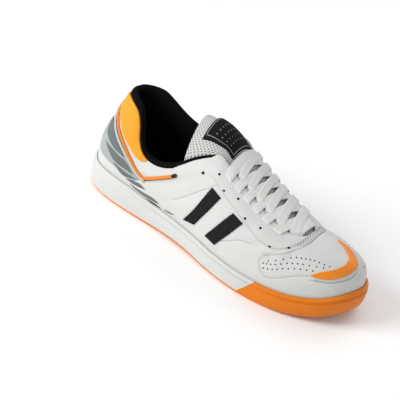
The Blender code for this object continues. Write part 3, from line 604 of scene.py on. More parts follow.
# Sole: rows and steps of its walls, the lip's crown, and its level grooves by height share,
# half width (mm) and depth (mm)
WALL_ROWS = 34
LIP_ROWS = 6
WALL_STEPS = 110
SPLIT_GAP = 0.00003
LIP_ROUND = 0.0005
WHITE_GROOVES = ((0.64, 0.5, 0.35), (0.52, 0.4, 0.25), (0.40, 0.4, 0.25), (0.28, 0.4, 0.2), (0.83, 0.6, 0.5))
ORANGE_GROOVES = ((0.76, 0.55, 0.8),)
LUG_ROOT = 0.0004
LUG_EASE = 0.0005
TARGET_LEAST = 7.0
STUD_DIMPLE = 0.26
TARGET_RING = 0.72
TARGET_EYE = 0.42

# Finer tread: a further arc of studs in the columns of the lug arcs, the links between the targets,
# where a link starts as a share of the target's radius, and the sides of each kind of lug
SMALL_STUDS = (("ball", 26.0, -4, 184, 11, 2.0),)
LINK_WIDTH = 0.0032
LINK_START = 0.95
DISC_SIDES = 48
HUB_SIDES = 32
TARGET_SIDES = 28
EYE_SIDES = 20
STUD_SIDES = 16
# Pivot: ring and hub radii, the spokes' inner and outer radius and their share of a turn (mm)
PIVOT_RING = (15.4, 14.4)
PIVOT_HUB = 7.6
PIVOT_PLATE = 13.8
PIVOT_SUNK = 0.0007
SPOKES = (8.7, 13.3, 0.86)
SPOKE_COUNT = 10
# Marks just behind the ball, from the pivot towards the heel and the outer side (mm):
# squares with their size, and plain bars
WAIST_SQUARES = ((40.6, 0.5, 3.6), (57.0, 2.0, 4.0))
WAIST_BARS = ((46.0, 6.5, 48.0, -1.5), (51.4, 15.0, 55.7, 8.5))
MARK_WIDTH = 0.0009
# Fine ribs across the rim band: pitch, length, width and how many stand before one is left out
RIB_SINK = 0.0005
RIB_PITCH = 0.0044
RIB_SPAN = (0.0016, 0.0098)
RIB_WIDTH = 0.0021
RIB_GROUP = 7

FLOOR_HALF = 3.0
SKY = 0.54
LIGHTS = (
    ("key", (-0.9, -1.0, 0.85), 0.8, 20.7), ("fill", (1.1, -0.6, 0.9), 1.2, 1.7),
    ("back", (0.0, 1.1, 1.0), 1.0, 5.8),
)


# Shader groups

def new_group(name, inputs, outputs):
    group = bpy.data.node_groups.new(name, "ShaderNodeTree")
    for label, value in inputs:
        kind = "NodeSocketColor" if isinstance(value, tuple) else "NodeSocketFloat"
        socket = group.interface.new_socket(name=label, in_out="INPUT", socket_type=kind)
        socket.default_value = value
    for label in outputs:
        kind = "NodeSocketColor" if label == "Color" else "NodeSocketFloat"
        group.interface.new_socket(name=label, in_out="OUTPUT", socket_type=kind)
    return group, group.nodes.new("NodeGroupInput"), group.nodes.new("NodeGroupOutput")


def make_grain():
    """Fine pebbles and soft wrinkles of leather or rubber, as a height."""
    group, entry, out = new_group("grain", (("Scale", 900.0), ("Wrinkle", 0.4)), ("Height",))
    nodes, links = group.nodes, group.links
    place = nodes.new("ShaderNodeTexCoord")
    pebbles = nodes.new("ShaderNodeTexVoronoi")
    pebbles.feature = "SMOOTH_F1"
    links.new(place.outputs["Object"], pebbles.inputs["Vector"])
    links.new(entry.outputs["Scale"], pebbles.inputs["Scale"])
    folds = nodes.new("ShaderNodeTexNoise")
    folds.inputs["Scale"].default_value = 130.0
    folds.inputs["Detail"].default_value = 5.0
    links.new(place.outputs["Object"], folds.inputs["Vector"])
    weight = nodes.new("ShaderNodeMath")
    weight.operation = "MULTIPLY"
    links.new(folds.outputs["Fac"], weight.inputs[0])
    links.new(entry.outputs["Wrinkle"], weight.inputs[1])
    total = nodes.new("ShaderNodeMath")
    links.new(pebbles.outputs["Distance"], total.inputs[0])
    links.new(weight.outputs[0], total.inputs[1])
    links.new(total.outputs[0], out.inputs["Height"])
    return group


def make_dust():
    """Uneven tone: a colour that turns a little darker in soft patches."""
    group, entry, out = new_group(
        "dust",
        (("Color", (1.0, 1.0, 1.0, 1.0)), ("Dirt", (0.4, 0.38, 0.35, 1.0)), ("Amount", 0.1)),
        ("Color",),
    )
    nodes, links = group.nodes, group.links
    place = nodes.new("ShaderNodeTexCoord")
    patches = nodes.new("ShaderNodeTexNoise")
    patches.inputs["Scale"].default_value = 26.0
    patches.inputs["Detail"].default_value = 6.0
    links.new(place.outputs["Object"], patches.inputs["Vector"])
    ramp = nodes.new("ShaderNodeMapRange")
    ramp.inputs["From Min"].default_value = 0.42
    ramp.inputs["From Max"].default_value = 0.72
    links.new(patches.outputs["Fac"], ramp.inputs["Value"])
    weight = nodes.new("ShaderNodeMath")
    weight.operation = "MULTIPLY"
    links.new(ramp.outputs["Result"], weight.inputs[0])
    links.new(entry.outputs["Amount"], weight.inputs[1])
    mix = nodes.new("ShaderNodeMix")
    mix.data_type = "RGBA"
    links.new(weight.outputs[0], mix.inputs["Factor"])
    links.new(entry.outputs["Color"], mix.inputs["A"])
    links.new(entry.outputs["Dirt"], mix.inputs["B"])
    links.new(mix.outputs["Result"], out.inputs["Color"])
    return group


def make_weave():
    """Threads crossing along a piece's own UV map, as a height."""
    group, entry, out = new_group("weave", (("Along", 300.0), ("Across", 60.0)), ("Height",))
    nodes, links = group.nodes, group.links
    place = nodes.new("ShaderNodeUVMap")
    split = nodes.new("ShaderNodeSeparateXYZ")
    links.new(place.outputs["UV"], split.inputs[0])
    waves = []
    for axis, label in (("X", "Along"), ("Y", "Across")):
        count = nodes.new("ShaderNodeMath")
        count.operation = "MULTIPLY"
        links.new(split.outputs[axis], count.inputs[0])
        links.new(entry.outputs[label], count.inputs[1])
        wave = nodes.new("ShaderNodeMath")
        wave.operation = "SINE"
        links.new(count.outputs[0], wave.inputs[0])
        waves.append(wave)
    both = nodes.new("ShaderNodeMath")
    both.operation = "MULTIPLY"
    links.new(waves[0].outputs[0], both.inputs[0])
    links.new(waves[1].outputs[0], both.inputs[1])
    links.new(both.outputs[0], out.inputs["Height"])
    return group


def make_holes():
    """Staggered round holes of a mesh cloth along a piece's own UV map: 1 in a hole, 0 on the cloth."""
    group, entry, out = new_group("holes", (("Along", 47.0), ("Across", 32.0)), ("Mask",))
    nodes, links = group.nodes, group.links
    place = nodes.new("ShaderNodeUVMap")
    split = nodes.new("ShaderNodeSeparateXYZ")
    links.new(place.outputs["UV"], split.inputs[0])
    waves = []
    for axis, label in (("X", "Along"), ("Y", "Across")):
        count = nodes.new("ShaderNodeMath")
        count.operation = "MULTIPLY"
        links.new(split.outputs[axis], count.inputs[0])
        links.new(entry.outputs[label], count.inputs[1])
        turn = nodes.new("ShaderNodeMath")
        turn.operation = "MULTIPLY"
        turn.inputs[1].default_value = 2 * math.pi
        links.new(count.outputs[0], turn.inputs[0])
        wave = nodes.new("ShaderNodeMath")
        wave.operation = "COSINE"
        links.new(turn.outputs[0], wave.inputs[0])
        waves.append(wave)
    both = nodes.new("ShaderNodeMath")
    both.operation = "MULTIPLY"
    links.new(waves[0].outputs[0], both.inputs[0])
    links.new(waves[1].outputs[0], both.inputs[1])
    mask = nodes.new("ShaderNodeMapRange")
    mask.interpolation_type = "SMOOTHSTEP"
    mask.inputs["From Min"].default_value = 0.30
    mask.inputs["From Max"].default_value = 0.62
    links.new(both.outputs[0], mask.inputs["Value"])
    links.new(mask.outputs["Result"], out.inputs["Mask"])
    return group


GRAIN = make_grain()
DUST = make_dust()
WEAVE = make_weave()
HOLES = make_holes()


def make_finish(name, color, roughness, shine=0.3, dirt=0.10, grain=900.0, wrinkle=0.4, depth=0.10, coat=0.0,
                weave=None, holes=None, dirt_color=(0.36, 0.35, 0.32, 1.0)):
    """One finish: a colour with soft dust, and the bump of its grain, weave or holes; holes are also darkened
    with painted shade.
    """
    material = bpy.data.materials.new(name)
    material.use_nodes = True
    nodes, links = material.node_tree.nodes, material.node_tree.links
    shader = nodes["Principled BSDF"]
    shader.inputs["Roughness"].default_value = roughness
    shader.inputs["Specular IOR Level"].default_value = shine
    shader.inputs["Coat Weight"].default_value = coat
    tone = nodes.new("ShaderNodeGroup")
    tone.node_tree = DUST
    tone.inputs["Color"].default_value = color
    tone.inputs["Dirt"].default_value = dirt_color
    tone.inputs["Amount"].default_value = dirt
    links.new(tone.outputs["Color"], shader.inputs["Base Color"])
    bump = nodes.new("ShaderNodeBump")
    bump.inputs["Strength"].default_value = depth
    bump.inputs["Distance"].default_value = 0.0004 if weave or holes else 0.0006
    relief_node = nodes.new("ShaderNodeGroup")
    if weave:
        relief_node.node_tree = WEAVE
        relief_node.inputs["Along"].default_value, relief_node.inputs["Across"].default_value = weave
        links.new(relief_node.outputs["Height"], bump.inputs["Height"])
    elif holes:
        relief_node.node_tree = HOLES
        relief_node.inputs["Along"].default_value, relief_node.inputs["Across"].default_value = holes
        bump.invert = True
        links.new(relief_node.outputs["Mask"], bump.inputs["Height"])
        # Holes turn near-black: painted shade inside the holes of the mesh
        dark = nodes.new("ShaderNodeMix")
        dark.data_type = "RGBA"
        dark.inputs["B"].default_value = HOLE_SHADE
        links.new(relief_node.outputs["Mask"], dark.inputs["Factor"])
        links.new(tone.outputs["Color"], dark.inputs["A"])
        links.new(dark.outputs["Result"], shader.inputs["Base Color"])
    else:
        relief_node.node_tree = GRAIN
        relief_node.inputs["Scale"].default_value = grain
        relief_node.inputs["Wrinkle"].default_value = wrinkle
        links.new(relief_node.outputs["Height"], bump.inputs["Height"])
    links.new(bump.outputs["Normal"], shader.inputs["Normal"])
    return material


# Colour of the painted shade inside the holes of the mesh cloths
HOLE_SHADE = (0.13, 0.13, 0.13, 1)
WHITE_LEATHER = make_finish("white_leather", (0.566, 0.58, 0.561, 1), 0.42, shine=0.4, dirt=0.07, coat=0.05)
WHITE_RUBBER = make_finish("white_rubber", (0.574, 0.583, 0.566, 1), 0.5, dirt=0.12, grain=1500, wrinkle=0.2)
ORANGE_RUBBER = make_finish(
    "orange_rubber", (0.696, 0.187, 0.004, 1), 0.45, dirt=0.30, grain=1500, wrinkle=0.2,
    dirt_color=(0.62, 0.13, 0.002, 1),
)
ORANGE_SKIN = make_finish("orange_skin", (0.748, 0.217, 0.006, 1), 0.42, dirt=0.3,
                          dirt_color=(0.72, 0.17, 0.003, 1))
YELLOW_SKIN = make_finish("yellow_skin", (0.766, 0.3, 0.012, 1), 0.45, dirt=0.25,
                          dirt_color=(0.86, 0.27, 0.008, 1))
RUST_SKIN = make_finish("rust_skin", (0.713, 0.204, 0.012, 1), 0.45, dirt=0.3,
                        dirt_color=(0.50, 0.11, 0.005, 1))
GREY_SKIN = make_finish("grey_skin", (0.322, 0.348, 0.344, 1), 0.42, dirt=0.12)
PALE_SKIN = make_finish("pale_skin", (0.435, 0.461, 0.452, 1), 0.42, dirt=0.12)
SLATE = make_finish("slate_print", (0.113, 0.131, 0.135, 1), 0.45, shine=0.2, dirt=0.1)
UMBER = make_finish("umber_print", (0.165, 0.144, 0.135, 1), 0.45, shine=0.2, dirt=0.1)
INK = make_finish("ink_print", (0.02, 0.02, 0.022, 1), 0.5, shine=0.1, dirt=0.05)
BLACK_BAND = make_finish("black_band", (0.007, 0.007, 0.008, 1), 0.62, shine=0.12, dirt=0.05, grain=1100,
                         depth=0.3, dirt_color=(0.02, 0.02, 0.02, 1))
BLACK_LINING = make_finish("black_lining", (0.004, 0.004, 0.004, 1), 0.9, shine=0.05, dirt=0.1, grain=1600,
                           depth=0.2, dirt_color=(0.008, 0.008, 0.008, 1))
MESH_CLOTH = make_finish("mesh_cloth", (0.522, 0.531, 0.513, 1), 0.8, shine=0.2, dirt=0.15,
                         holes=(44.0, 30.0), depth=0.8)
FINE_MESH = make_finish("fine_mesh", (0.574, 0.583, 0.566, 1), 0.8, shine=0.2, dirt=0.1, holes=(5.0, 12.0),
                        depth=0.6)
LACE_CLOTH = make_finish("lace_cloth", (0.722, 0.731, 0.712, 1), 0.8, shine=0.2, dirt=0.1,
                         weave=(330.0, 60.0), depth=0.5)
LABEL_CLOTH = make_finish("label_cloth", (0.006, 0.006, 0.007, 1), 0.7, shine=0.1, dirt=0.1,
                          weave=(260.0, 320.0), depth=0.4, dirt_color=(0.02, 0.02, 0.02, 1))
THREAD = make_finish("thread", (0.522, 0.531, 0.513, 1), 0.7, shine=0.2, dirt=0.1)
PALE_LINE = make_finish("pale_line", (0.365, 0.374, 0.357, 1), 0.6, shine=0.1, dirt=0.1)
# Near-black rust: the piping's dark end, and the painted shade line beside its lower run
DARK_RUST_AND_SHADE = make_finish("dark_rust_and_shade", (0.045, 0.018, 0.008, 1), 0.6, shine=0.1, dirt=0.5,
                        dirt_color=(0.012, 0.008, 0.006, 1))
# Near-black of the discs that stand for holes: painted shade inside the pinholes and eyelets
HOLE_SHADOW = make_finish("hole_shadow", (0.012, 0.012, 0.012, 1), 0.9, shine=0.05, dirt=0.0)
GREY_PRINT = make_finish("label_print", (0.261, 0.261, 0.252, 1), 0.6, shine=0.1, dirt=0.1)


# Making of pieces

def at_home(point):
    return Vector(point) - HOME


def start_piece():
    work = bmesh.new()
    return work, work.loops.layers.uv.new("UVMap")


def eased(share):
    """Share with its steps drawn closer together at both ends."""
    return 0.5 - 0.5 * math.cos(math.pi * share)


def patch(work, uv, columns, rows, place, index=0):
    """A grid laid on a surface: place gives a point of the shoe for shares along and across."""
    made = bmesh.ops.create_grid(work, x_segments=columns, y_segments=rows, size=0.5)
    for face in {face for vert in made["verts"] for face in vert.link_faces}:
        face.material_index = index
        for loop in face.loops:
            loop[uv].uv = (loop.vert.co.x + 0.5, loop.vert.co.y + 0.5)
    for vert in made["verts"]:
        vert.co = at_home(place(vert.co.x + 0.5, vert.co.y + 0.5))


def plate(work, uv, columns, rows, place, low, high, edge=PLATE_EDGE, index=0, back=None):
    """A closed panel between two heights off a surface, its upper edges rounded over."""
    made = bmesh.ops.create_grid(work, x_segments=columns, y_segments=rows, size=0.5)
    faces = list({face for vert in made["verts"] for face in vert.link_faces})
    raised = bmesh.ops.extrude_face_region(work, geom=faces)
    lifted = [thing for thing in raised["geom"] if isinstance(thing, bmesh.types.BMVert)]
    for vert in lifted:
        vert.co.z = 1.0
    middle = [place(k / 12, 0.5, 0.0) for k in range(13)]
    length = sum((b - a).length for a, b in zip(middle, middle[1:]))
    widths = {}
    everyone = list(made["verts"]) + lifted
    for face in {face for vert in everyone for face in vert.link_faces}:
        face.material_index = index
        if back is not None and all(loop.vert.co.z < 0.5 for loop in face.loops):
            face.material_index = back
        for loop in face.loops:
            loop[uv].uv = (eased(loop.vert.co.x + 0.5), eased(loop.vert.co.y + 0.5))
    for vert in everyone:
        u, v = eased(vert.co.x + 0.5), eased(vert.co.y + 0.5)
        key = round(u, 6)
        if key not in widths:
            widths[key] = (place(u, 1.0, 0.0) - place(u, 0.0, 0.0)).length
        near = min(min(v, 1 - v) * widths[key], min(u, 1 - u) * length) / edge
        crown = math.sqrt(1 - (1 - min(near, 1.0)) ** 2)
        out = low + (high - low) * (0.2 + 0.8 * crown) if vert.co.z > 0.5 else low
        vert.co = at_home(place(u, v, out))


def turned(work, centre, profile, sides, index=0):
    """A profile of radius and height spun about an upright axis through a place of the shoe."""
    home = at_home(centre)
    verts = [work.verts.new(home + Vector((radius, 0.0, height))) for radius, height in profile]
    edges = [work.edges.new(pair) for pair in zip(verts, verts[1:])]
    spun = bmesh.ops.spin(
        work, geom=verts + edges, cent=home, axis=(0, 0, 1), angle=2 * math.pi, steps=sides, use_merge=True,
    )
    for thing in spun["geom_last"]:
        for face in thing.link_faces:
            face.material_index = index


def close_ends(work):
    open_edges = [edge for edge in work.edges if edge.is_boundary]
    bmesh.ops.holes_fill(work, edges=open_edges, sides=0)


def finish_piece(work, name, materials, nodes=(), closed=False):
    bmesh.ops.remove_doubles(work, verts=work.verts, dist=WELD)
    if closed:
        close_ends(work)
    bmesh.ops.recalc_face_normals(work, faces=work.faces)
    mesh = bpy.data.meshes.new(name)
    work.to_mesh(mesh)
    work.free()
    for polygon in mesh.polygons:
        polygon.use_smooth = True
    mesh.set_sharp_from_angle(angle=SMOOTH_ANGLE)
    for material in materials:
        mesh.materials.append(material)
    piece = bpy.data.objects.new(name, mesh)
    bpy.context.scene.collection.objects.link(piece)
    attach(piece, "root")
    if nodes:
        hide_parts(*nodes)
    return piece


def flat_spot(s, t):
    """A spot of the shell laid flat, in metres along its path and up its profile."""
    return Vector((s * PATH_LENGTH, t * PROFILE_LENGTH))


def flat_lines(rows):
    """Each row's line laid flat: start, end, half width and height in metres."""
    return [(flat_spot(*row[:2]), flat_spot(*row[2:4]), row[4] * MM, row[5] * MM) for row in rows]


def line_height(spot, line):
    """Height that a soft line gives to a spot: full on the line and nothing past twice its half width."""
    start, end, half, height = line
    along = end - start
    share = min(max((spot - start).dot(along) / along.length_squared, 0), 1)
    gap = (spot - start - along * share).length / half
    return height * math.exp(-gap * gap) if gap < 2.2 else 0.0


def seam_grooves():
    """The seams laid flat as short shallow troughs."""
    rows = []
    for line in SEAMS.values():
        at = through([(k, *row) for k, row in enumerate(line)])
        spots = [at(k / 3) for k in range(3 * (len(line) - 1) + 1)]
        rows += [(*a, *b, GROOVE_HALF, -GROOVE_DEEP) for a, b in zip(spots, spots[1:])]
    return flat_lines([[float(value) for value in row] for row in rows])


SOFT_LINES = flat_lines(SWELLS) + flat_lines([(*row[:5], -row[5]) for row in CREASES])
GROOVES = seam_grooves()
EYESTAY_AT = through(EYESTAY_EDGE)


@lru_cache(maxsize=None)
def relief(s, t):
    """Height of the leather over the plain shell: creases, swellings, seams and the raised eyestay."""
    spot = flat_spot(s, t)
    soft = sum(line_height(spot, line) for line in SOFT_LINES)
    sunk = min((line_height(spot, line) for line in GROOVES), default=0.0)
    edge = float(EYESTAY_AT(s)[0])
    inside = smooth_step(s, *EYESTAY_START) * (1 - smooth_step(s, *EYESTAY_STOP))
    stay = EYESTAY_RISE * smooth_step(t, edge - EYESTAY_EASE, edge + EYESTAY_EASE) * inside
    return soft * smooth_step(t, 0.12, 0.3) + sunk + stay * (1 - smooth_step(t, 0.97, 1.0))


def build_upper():
    """White leather skin, its turned edge and the black lining, as one closed shell."""
    work, uv = start_piece()
    for side in SIDES:
        def outer(u, v, side=side):
            return off_shell(side, u, v, relief(u, v))

        def inner(u, v, side=side):
            return off_shell(side, u, v, -wall_at(u, v))

        def rim(u, v, side=side):
            s = u * THROAT_END
            name = "lateral" if s > THROAT_END - STEP else side
            turn = math.pi * v
            wall = wall_at(s, 1)
            up = (shell_point(name, s, 1) - shell_point(name, s, 1 - STEP)).normalized()
            lift = off_shell(name, s, 1, relief(s, 1) * (1 - v) - wall / 2 * (1 - math.cos(turn)))
            return lift + up * wall * RIM_ROUND * math.sin(turn)

        def foot(u, v, side=side):
            return off_shell(side, u, 0, -wall_at(u, 0) * v)

        patch(work, uv, FINE_PATH, FINE_PROFILE, outer, 0)
        patch(work, uv, FINE_PATH, LINING_ROWS, inner, 1)
        patch(work, uv, round(FINE_PATH * THROAT_END), RIM_ROWS, rim, 2)
        patch(work, uv, FINE_PATH, 1, foot, 1)
    for face in work.faces:
        spots = [loop[uv].uv for loop in face.loops]
        s, t = sum(spot.x for spot in spots) / len(spots), sum(spot.y for spot in spots) / len(spots)
        thin = EDGE_DOWN * (1 - smooth_step(s, *EDGE_FADE))
        rolled = (ROLL_DOWN - EDGE_DOWN) * (1 - smooth_step(s, *ROLL_FADE))
        if face.material_index == 0 and t > 1 - thin - rolled:
            face.material_index = 1
        if face.material_index == 2:
            face.material_index = 1 if s * THROAT_END < EDGE_BLACK else 0
    finish_piece(work, "upper_skin", (WHITE_LEATHER, BLACK_LINING), ("upper",))


def to_side(around, t):
    """Side, path share and profile share of a signed path, folded over the ridge past the top."""
    side, s = ("lateral", around) if 0 <= around <= 1 else ("medial", -around if around < 0 else 2 - around)
    if t > 1:
        side, t = ("medial" if side == "lateral" else "lateral"), 2 - t
    return side, s, t


def round_point(around, t, out):
    side, s, t = to_side(around, t)
    return off_shell(side, s, t, out + relief(s, t))


def round_normal(around, t):
    return shell_normal(*to_side(around, t))


def shell_path(rows, sign=1, aside=0.0):
    """Path on the shell through rows of path and profile shares, moved aside by a distance."""
    flat = [flat_spot(*row) for row in rows]
    steps = [(b - a).length for a, b in zip(flat, flat[1:])]
    shares = [sum(steps[:k]) / sum(steps) for k in range(len(flat))]
    line = through([(share, *spot) for share, spot in zip(shares, flat)])

    def spot(u):
        along = Vector(line(min(u + PATH_STEP, 1)) - line(max(u - PATH_STEP, 0))).normalized()
        here = Vector(line(u)) + Vector((-along.y, along.x)) * aside
        return here.x / PATH_LENGTH * sign, here.y / PROFILE_LENGTH

    @lru_cache(maxsize=None)
    def path(u):
        around, t = spot(u)
        ahead, behind = (round_point(*spot(min(max(w, 0), 1)), 0.0) for w in (u + PATH_STEP, u - PATH_STEP))
        return round_point(around, t, 0.0), (ahead - behind).normalized(), round_normal(around, t)

    return path, sum(steps)


def bead(work, uv, path, width, height, lift, steps, sides=8, index=0, taper=0.05):
    """Closed rounded band along a path of the surface, drawn to a point at both ends."""
    def section(u, v):
        centre, along, normal = path(u)
        end = min(1.0, max(0.0, min(u, 1 - u) / taper)) ** 0.5
        if u < WELD or u > 1 - WELD:
            end = 0.0
        turn = 2 * math.pi * v
        side = math.cos(turn) * width / 2 * end
        rise = (1 + math.sin(turn) * end) / 2 * height
        return centre + normal.cross(along) * side + normal * (lift + rise)
    patch(work, uv, steps, sides, section, index)


def stitch(work, path, share):
    """One stitch as a small rounded grain lying on the leather."""
    centre, along, normal = path(share)
    turn = Matrix((along, normal.cross(along), normal)).transposed().to_4x4()
    size = Matrix.Diagonal((STITCH_LENGTH / 2, STITCH_WIDTH / 2, STITCH_WIDTH / 2, 1))
    place = Matrix.Translation(at_home(centre)) @ turn @ size
    bmesh.ops.create_uvsphere(work, u_segments=6, v_segments=4, radius=1.0, matrix=place)


def build_seams():
    """Seam lines and their stitches, on both sides."""
    work, uv = start_piece()
    threads, _ = start_piece()
    for name, rows in SEAMS.items():
        for sign in (1, -1):
            path, _ = shell_path(rows, sign)
            bead(work, uv, path, SEAM_WIDTH, SEAM_RISE, -SEAM_RISE / 4, 40, sides=6)
            if name in STITCHED:
                aside, length = shell_path(rows, sign, STITCH_ASIDE)
                count = round(length / STITCH_PITCH)
                for k in range(count):
                    stitch(threads, aside, (k + 0.5) / count)
    finish_piece(work, "seam_lines", (PALE_LINE,))
    finish_piece(threads, "stitches", (THREAD,))


def disc(work, around, t, radius, height, sink, sides=12):
    """Small closed button on the shell."""
    normal = round_normal(around, t)
    centre = at_home(round_point(around, t, height / 2 - sink))
    turn = normal.to_track_quat("Z", "Y").to_matrix().to_4x4()
    bmesh.ops.create_cone(
        work, cap_ends=True, segments=sides, radius1=radius, radius2=radius, depth=height,
        matrix=Matrix.Translation(centre) @ turn,
    )


def build_toe_ticks():
    """Short upright ribs in a row under the toe's crescent."""
    work, _ = start_piece()
    for sign in (1, -1):
        path, _ = shell_path(TOE_TICKS, sign)
        for k in range(TICK_COUNT):
            centre, along, normal = path((k + 0.5) / TICK_COUNT)
            turn = Matrix((normal.cross(along), along, normal)).transposed().to_4x4()
            size = Matrix.Diagonal((TICK_SIZE[0] / 2, TICK_SIZE[1] / 2, TICK_SIZE[1] / 2, 1))
            place = Matrix.Translation(at_home(centre)) @ turn @ size
            bmesh.ops.create_uvsphere(work, u_segments=8, v_segments=4, radius=1.0, matrix=place)
    finish_piece(work, "toe_ticks", (PALE_LINE,))


def build_holes():
    """Pinholes of the vamp and the spare eyelets: near-black discs of painted shade laid on the leather, not
    cut through it.
    """
    work, _ = start_piece()
    for sign in (1, -1):
        # Each hole is a dark disc just proud of the leather: painted shade, not a cut hole
        for *rows, count in PINHOLES:
            line = through([(k / (len(rows) - 1), *row) for k, row in enumerate(rows)])
            for k in range(count):
                s, t = line(k / (count - 1))
                disc(work, float(s) * sign, float(t), PINHOLE, HOLE_DEEP, HOLE_DEEP - HOLE_PROUD)
        for s, t, radius in EYELET_HOLES:
            disc(work, s * sign, t, radius * MM, HOLE_DEEP, HOLE_DEEP - HOLE_PROUD, sides=18)
    finish_piece(work, "pinholes", (HOLE_SHADOW,))


def overlay_place(rows, sign):
    edges = through(rows)
    low, high = rows[0][0], rows[-1][0]

    def place(u, v, out):
        a_low, t_low, a_high, t_high = edges(low + (high - low) * u)
        return round_point((a_low + (a_high - a_low) * v) * sign, t_low + (t_high - t_low) * v, out)

    return place


def build_panels():
    """Coloured panels sewn on the leather, on the rows of their solids."""
    looks = {"toe_crescent": (ORANGE_SKIN, 76, 12, 0.0), "counter": (GREY_SKIN, 44, 22, 0.0),
             "collar_panel": (YELLOW_SKIN, 48, 24, PANEL_PUFF)}
    for name, (material, columns, across, puff) in looks.items():
        rows, sides = OVERLAYS[name]
        for label, sign in sides:
            def place(u, v, out, base=overlay_place(rows, sign), puff=puff):
                swell = puff * math.sin(math.pi * u) * math.sin(math.pi * v)
                return base(u, v, out + (swell if out > 0 else 0.0))

            work, uv = start_piece()
            plate(work, uv, columns, across, place, SKIN_LOW, FIT_GAP + OVERLAY)
            finish_piece(work, name + label + "_skin", (material,), (name + label,))


def build_piping():
    """Rust piping with its sharp turn, and its thicker lower run with a dark end and a near-black line of
    painted shade beside it.
    """
    for label, sign in BOTH:
        work, uv = start_piece()
        upper, _ = shell_path(PIPING_UPPER, sign)
        bead(work, uv, upper, PIPING_NARROW, 2 * OVERLAY, -OVERLAY / 2, 110, sides=14, taper=0.01)
        lower, _ = shell_path(PIPING_LOWER, sign)
        bead(work, uv, lower, PIPING_WIDTH, 2 * OVERLAY, -OVERLAY / 2, 50, sides=14, taper=0.02)
        # Thin near-black line beside the lower run: painted shade under the piping
        shade, _ = shell_path(PIPING_LOWER, sign, SHADE_ASIDE * sign)
        bead(work, uv, shade, PIPING_NARROW / 3, OVERLAY, OVERLAY / 3, 40, sides=8, index=1, taper=0.08)
        tip, _ = shell_path(PIPING_TIP, sign)
        bead(work, uv, tip, PIPING_WIDTH, 2 * OVERLAY, -OVERLAY / 2 + PRINT, 10, sides=10, index=1, taper=0.2)
        pale, _ = shell_path(PIPING_UPPER, sign, PALE_ASIDE * sign)
        bead(work, uv, pale, PALE_WIDTH, PALE_RISE, OVERLAY - PRINT, 110, sides=8, index=2, taper=0.01)
        finish_piece(work, "piping" + label + "_skin", (RUST_SKIN, DARK_RUST_AND_SHADE, PALE_SKIN), ("piping" + label,))


def blade_place(upper, lower, sign):
    """Leaf between two edges that share both tips."""
    edges = [[(k / (len(edge) - 1), *point) for k, point in enumerate(edge)] for edge in (lower, upper)]
    lines = [through(edge) for edge in edges]

    def place(u, v, out):
        low, high = (line(u) for line in lines)
        s, t = (float(value) for value in low + (high - low) * v)
        return round_point(s * sign, t, out)

    return place


def build_blades():
    """Printed leaves that sweep from the heel's grey counter over the white quarter."""
    work, uv = start_piece()
    colours = {"slate": 0, "umber": 1, "ink": 2}
    for rows, lift in ((BLADES, OVERLAY + FIT_GAP - PRINT / 2), (WHITE_BLADES, -PRINT / 2)):
        for upper, lower, colour in rows:
            for sign in (1, -1):
                plate(work, uv, 26, 6, blade_place(upper, lower, sign), lift, lift + PRINT,
                      index=colours[colour])
    finish_piece(work, "heel_blades", (SLATE, UMBER, INK))


def pinked_place(rows, sign):
    """Band with pinked edges: its long sides run in small teeth."""
    base = overlay_place(rows, sign)

    def place(u, v, out):
        tooth = TOOTH * abs(((u * TEETH) % 1) * 2 - 1)
        edge = smooth_step(abs(v - 0.5), 0.36, 0.5)
        return base(u, 0.5 + (v - 0.5) * (1 - tooth * edge), out)

    return place


def build_bands():
    """Two plain slanted bands on each side, sewn down, with pinked edges."""
    for name in ("front_band", "rear_band"):
        rows, sides = OVERLAYS[name]
        for label, sign in sides:
            work, uv = start_piece()
            plate(work, uv, TEETH * 4, 12, pinked_place(rows, sign), SKIN_LOW, FIT_GAP + OVERLAY)
            finish_piece(work, name + label + "_skin", (BLACK_BAND,), (name + label,))


@lru_cache(maxsize=None)
def tongue_sizes(s):
    return [float(value) for value in TONGUE_AT(s)]


def tongue_top(s, v):
    """Tongue's upper face: v runs from its outer leg's foot over the arch to the inner leg's."""
    foot, crown, _, roundness = tongue_sizes(s)
    if v < TONGUE_LEG or v > 1 - TONGUE_LEG:
        side = "lateral" if v < 0.5 else "medial"
        t = foot + (LEG_TOP - foot) * min(v, 1 - v) / TONGUE_LEG
        return off_shell(side, s, t, -wall_at(s, t) - TONGUE_GAP)
    first, last = (off_shell(side, s, LEG_TOP, -wall_at(s, LEG_TOP) - TONGUE_GAP) for side in SIDES)
    u = (v - TONGUE_LEG) / (1 - 2 * TONGUE_LEG)
    point = first + (last - first) * u
    point.z += crown * MM * max(math.sin(math.pi * u), 0.0) ** roundness
    return point


@lru_cache(maxsize=None)
def tongue_normal(s, v):
    along = tongue_top(s + STEP, v) - tongue_top(max(s - STEP, TONGUE[0][0]), v)
    across = tongue_top(s, min(v + TONGUE_REACH, 1)) - tongue_top(s, max(v - TONGUE_REACH, 0))
    return along.cross(across).normalized()


def tongue_point(s, v, out):
    return tongue_top(s, v) + tongue_normal(s, v) * out


def build_tongue():
    """Padded tongue: mesh cloth outside, black lining inside, a rolled top edge."""
    low, high = TONGUE[0][0] - TONGUE_ROLL, TONGUE[-1][0]

    def place(u, v, out):
        s = low + (high - low) * u
        kept = max(s, TONGUE[0][0])
        thick = tongue_sizes(kept)[2] * MM
        near = min(u * (high - low) * PATH_LENGTH / (thick / 2), 1.0)
        crown = math.sqrt(1 - (1 - near) ** 2)
        past = (tongue_top(kept, v) - tongue_top(kept + STEP, v)).normalized() * (kept - s) * PATH_LENGTH
        middle = tongue_point(kept, v, -thick / 2) + past
        return middle + tongue_normal(kept, v) * (out * thick / 2 * max(crown, 0.02))

    work, uv = start_piece()
    plate(work, uv, 90, 44, place, -1.0, 1.0, edge=0.0006, index=0, back=1)
    for face in work.faces:
        if face.material_index == 1 and max(loop[uv].uv.x for loop in face.loops) < TONGUE_ROLL:
            face.material_index = 0
    piece = finish_piece(work, "tongue_pad", (MESH_CLOTH, BLACK_LINING), ("tongue",))


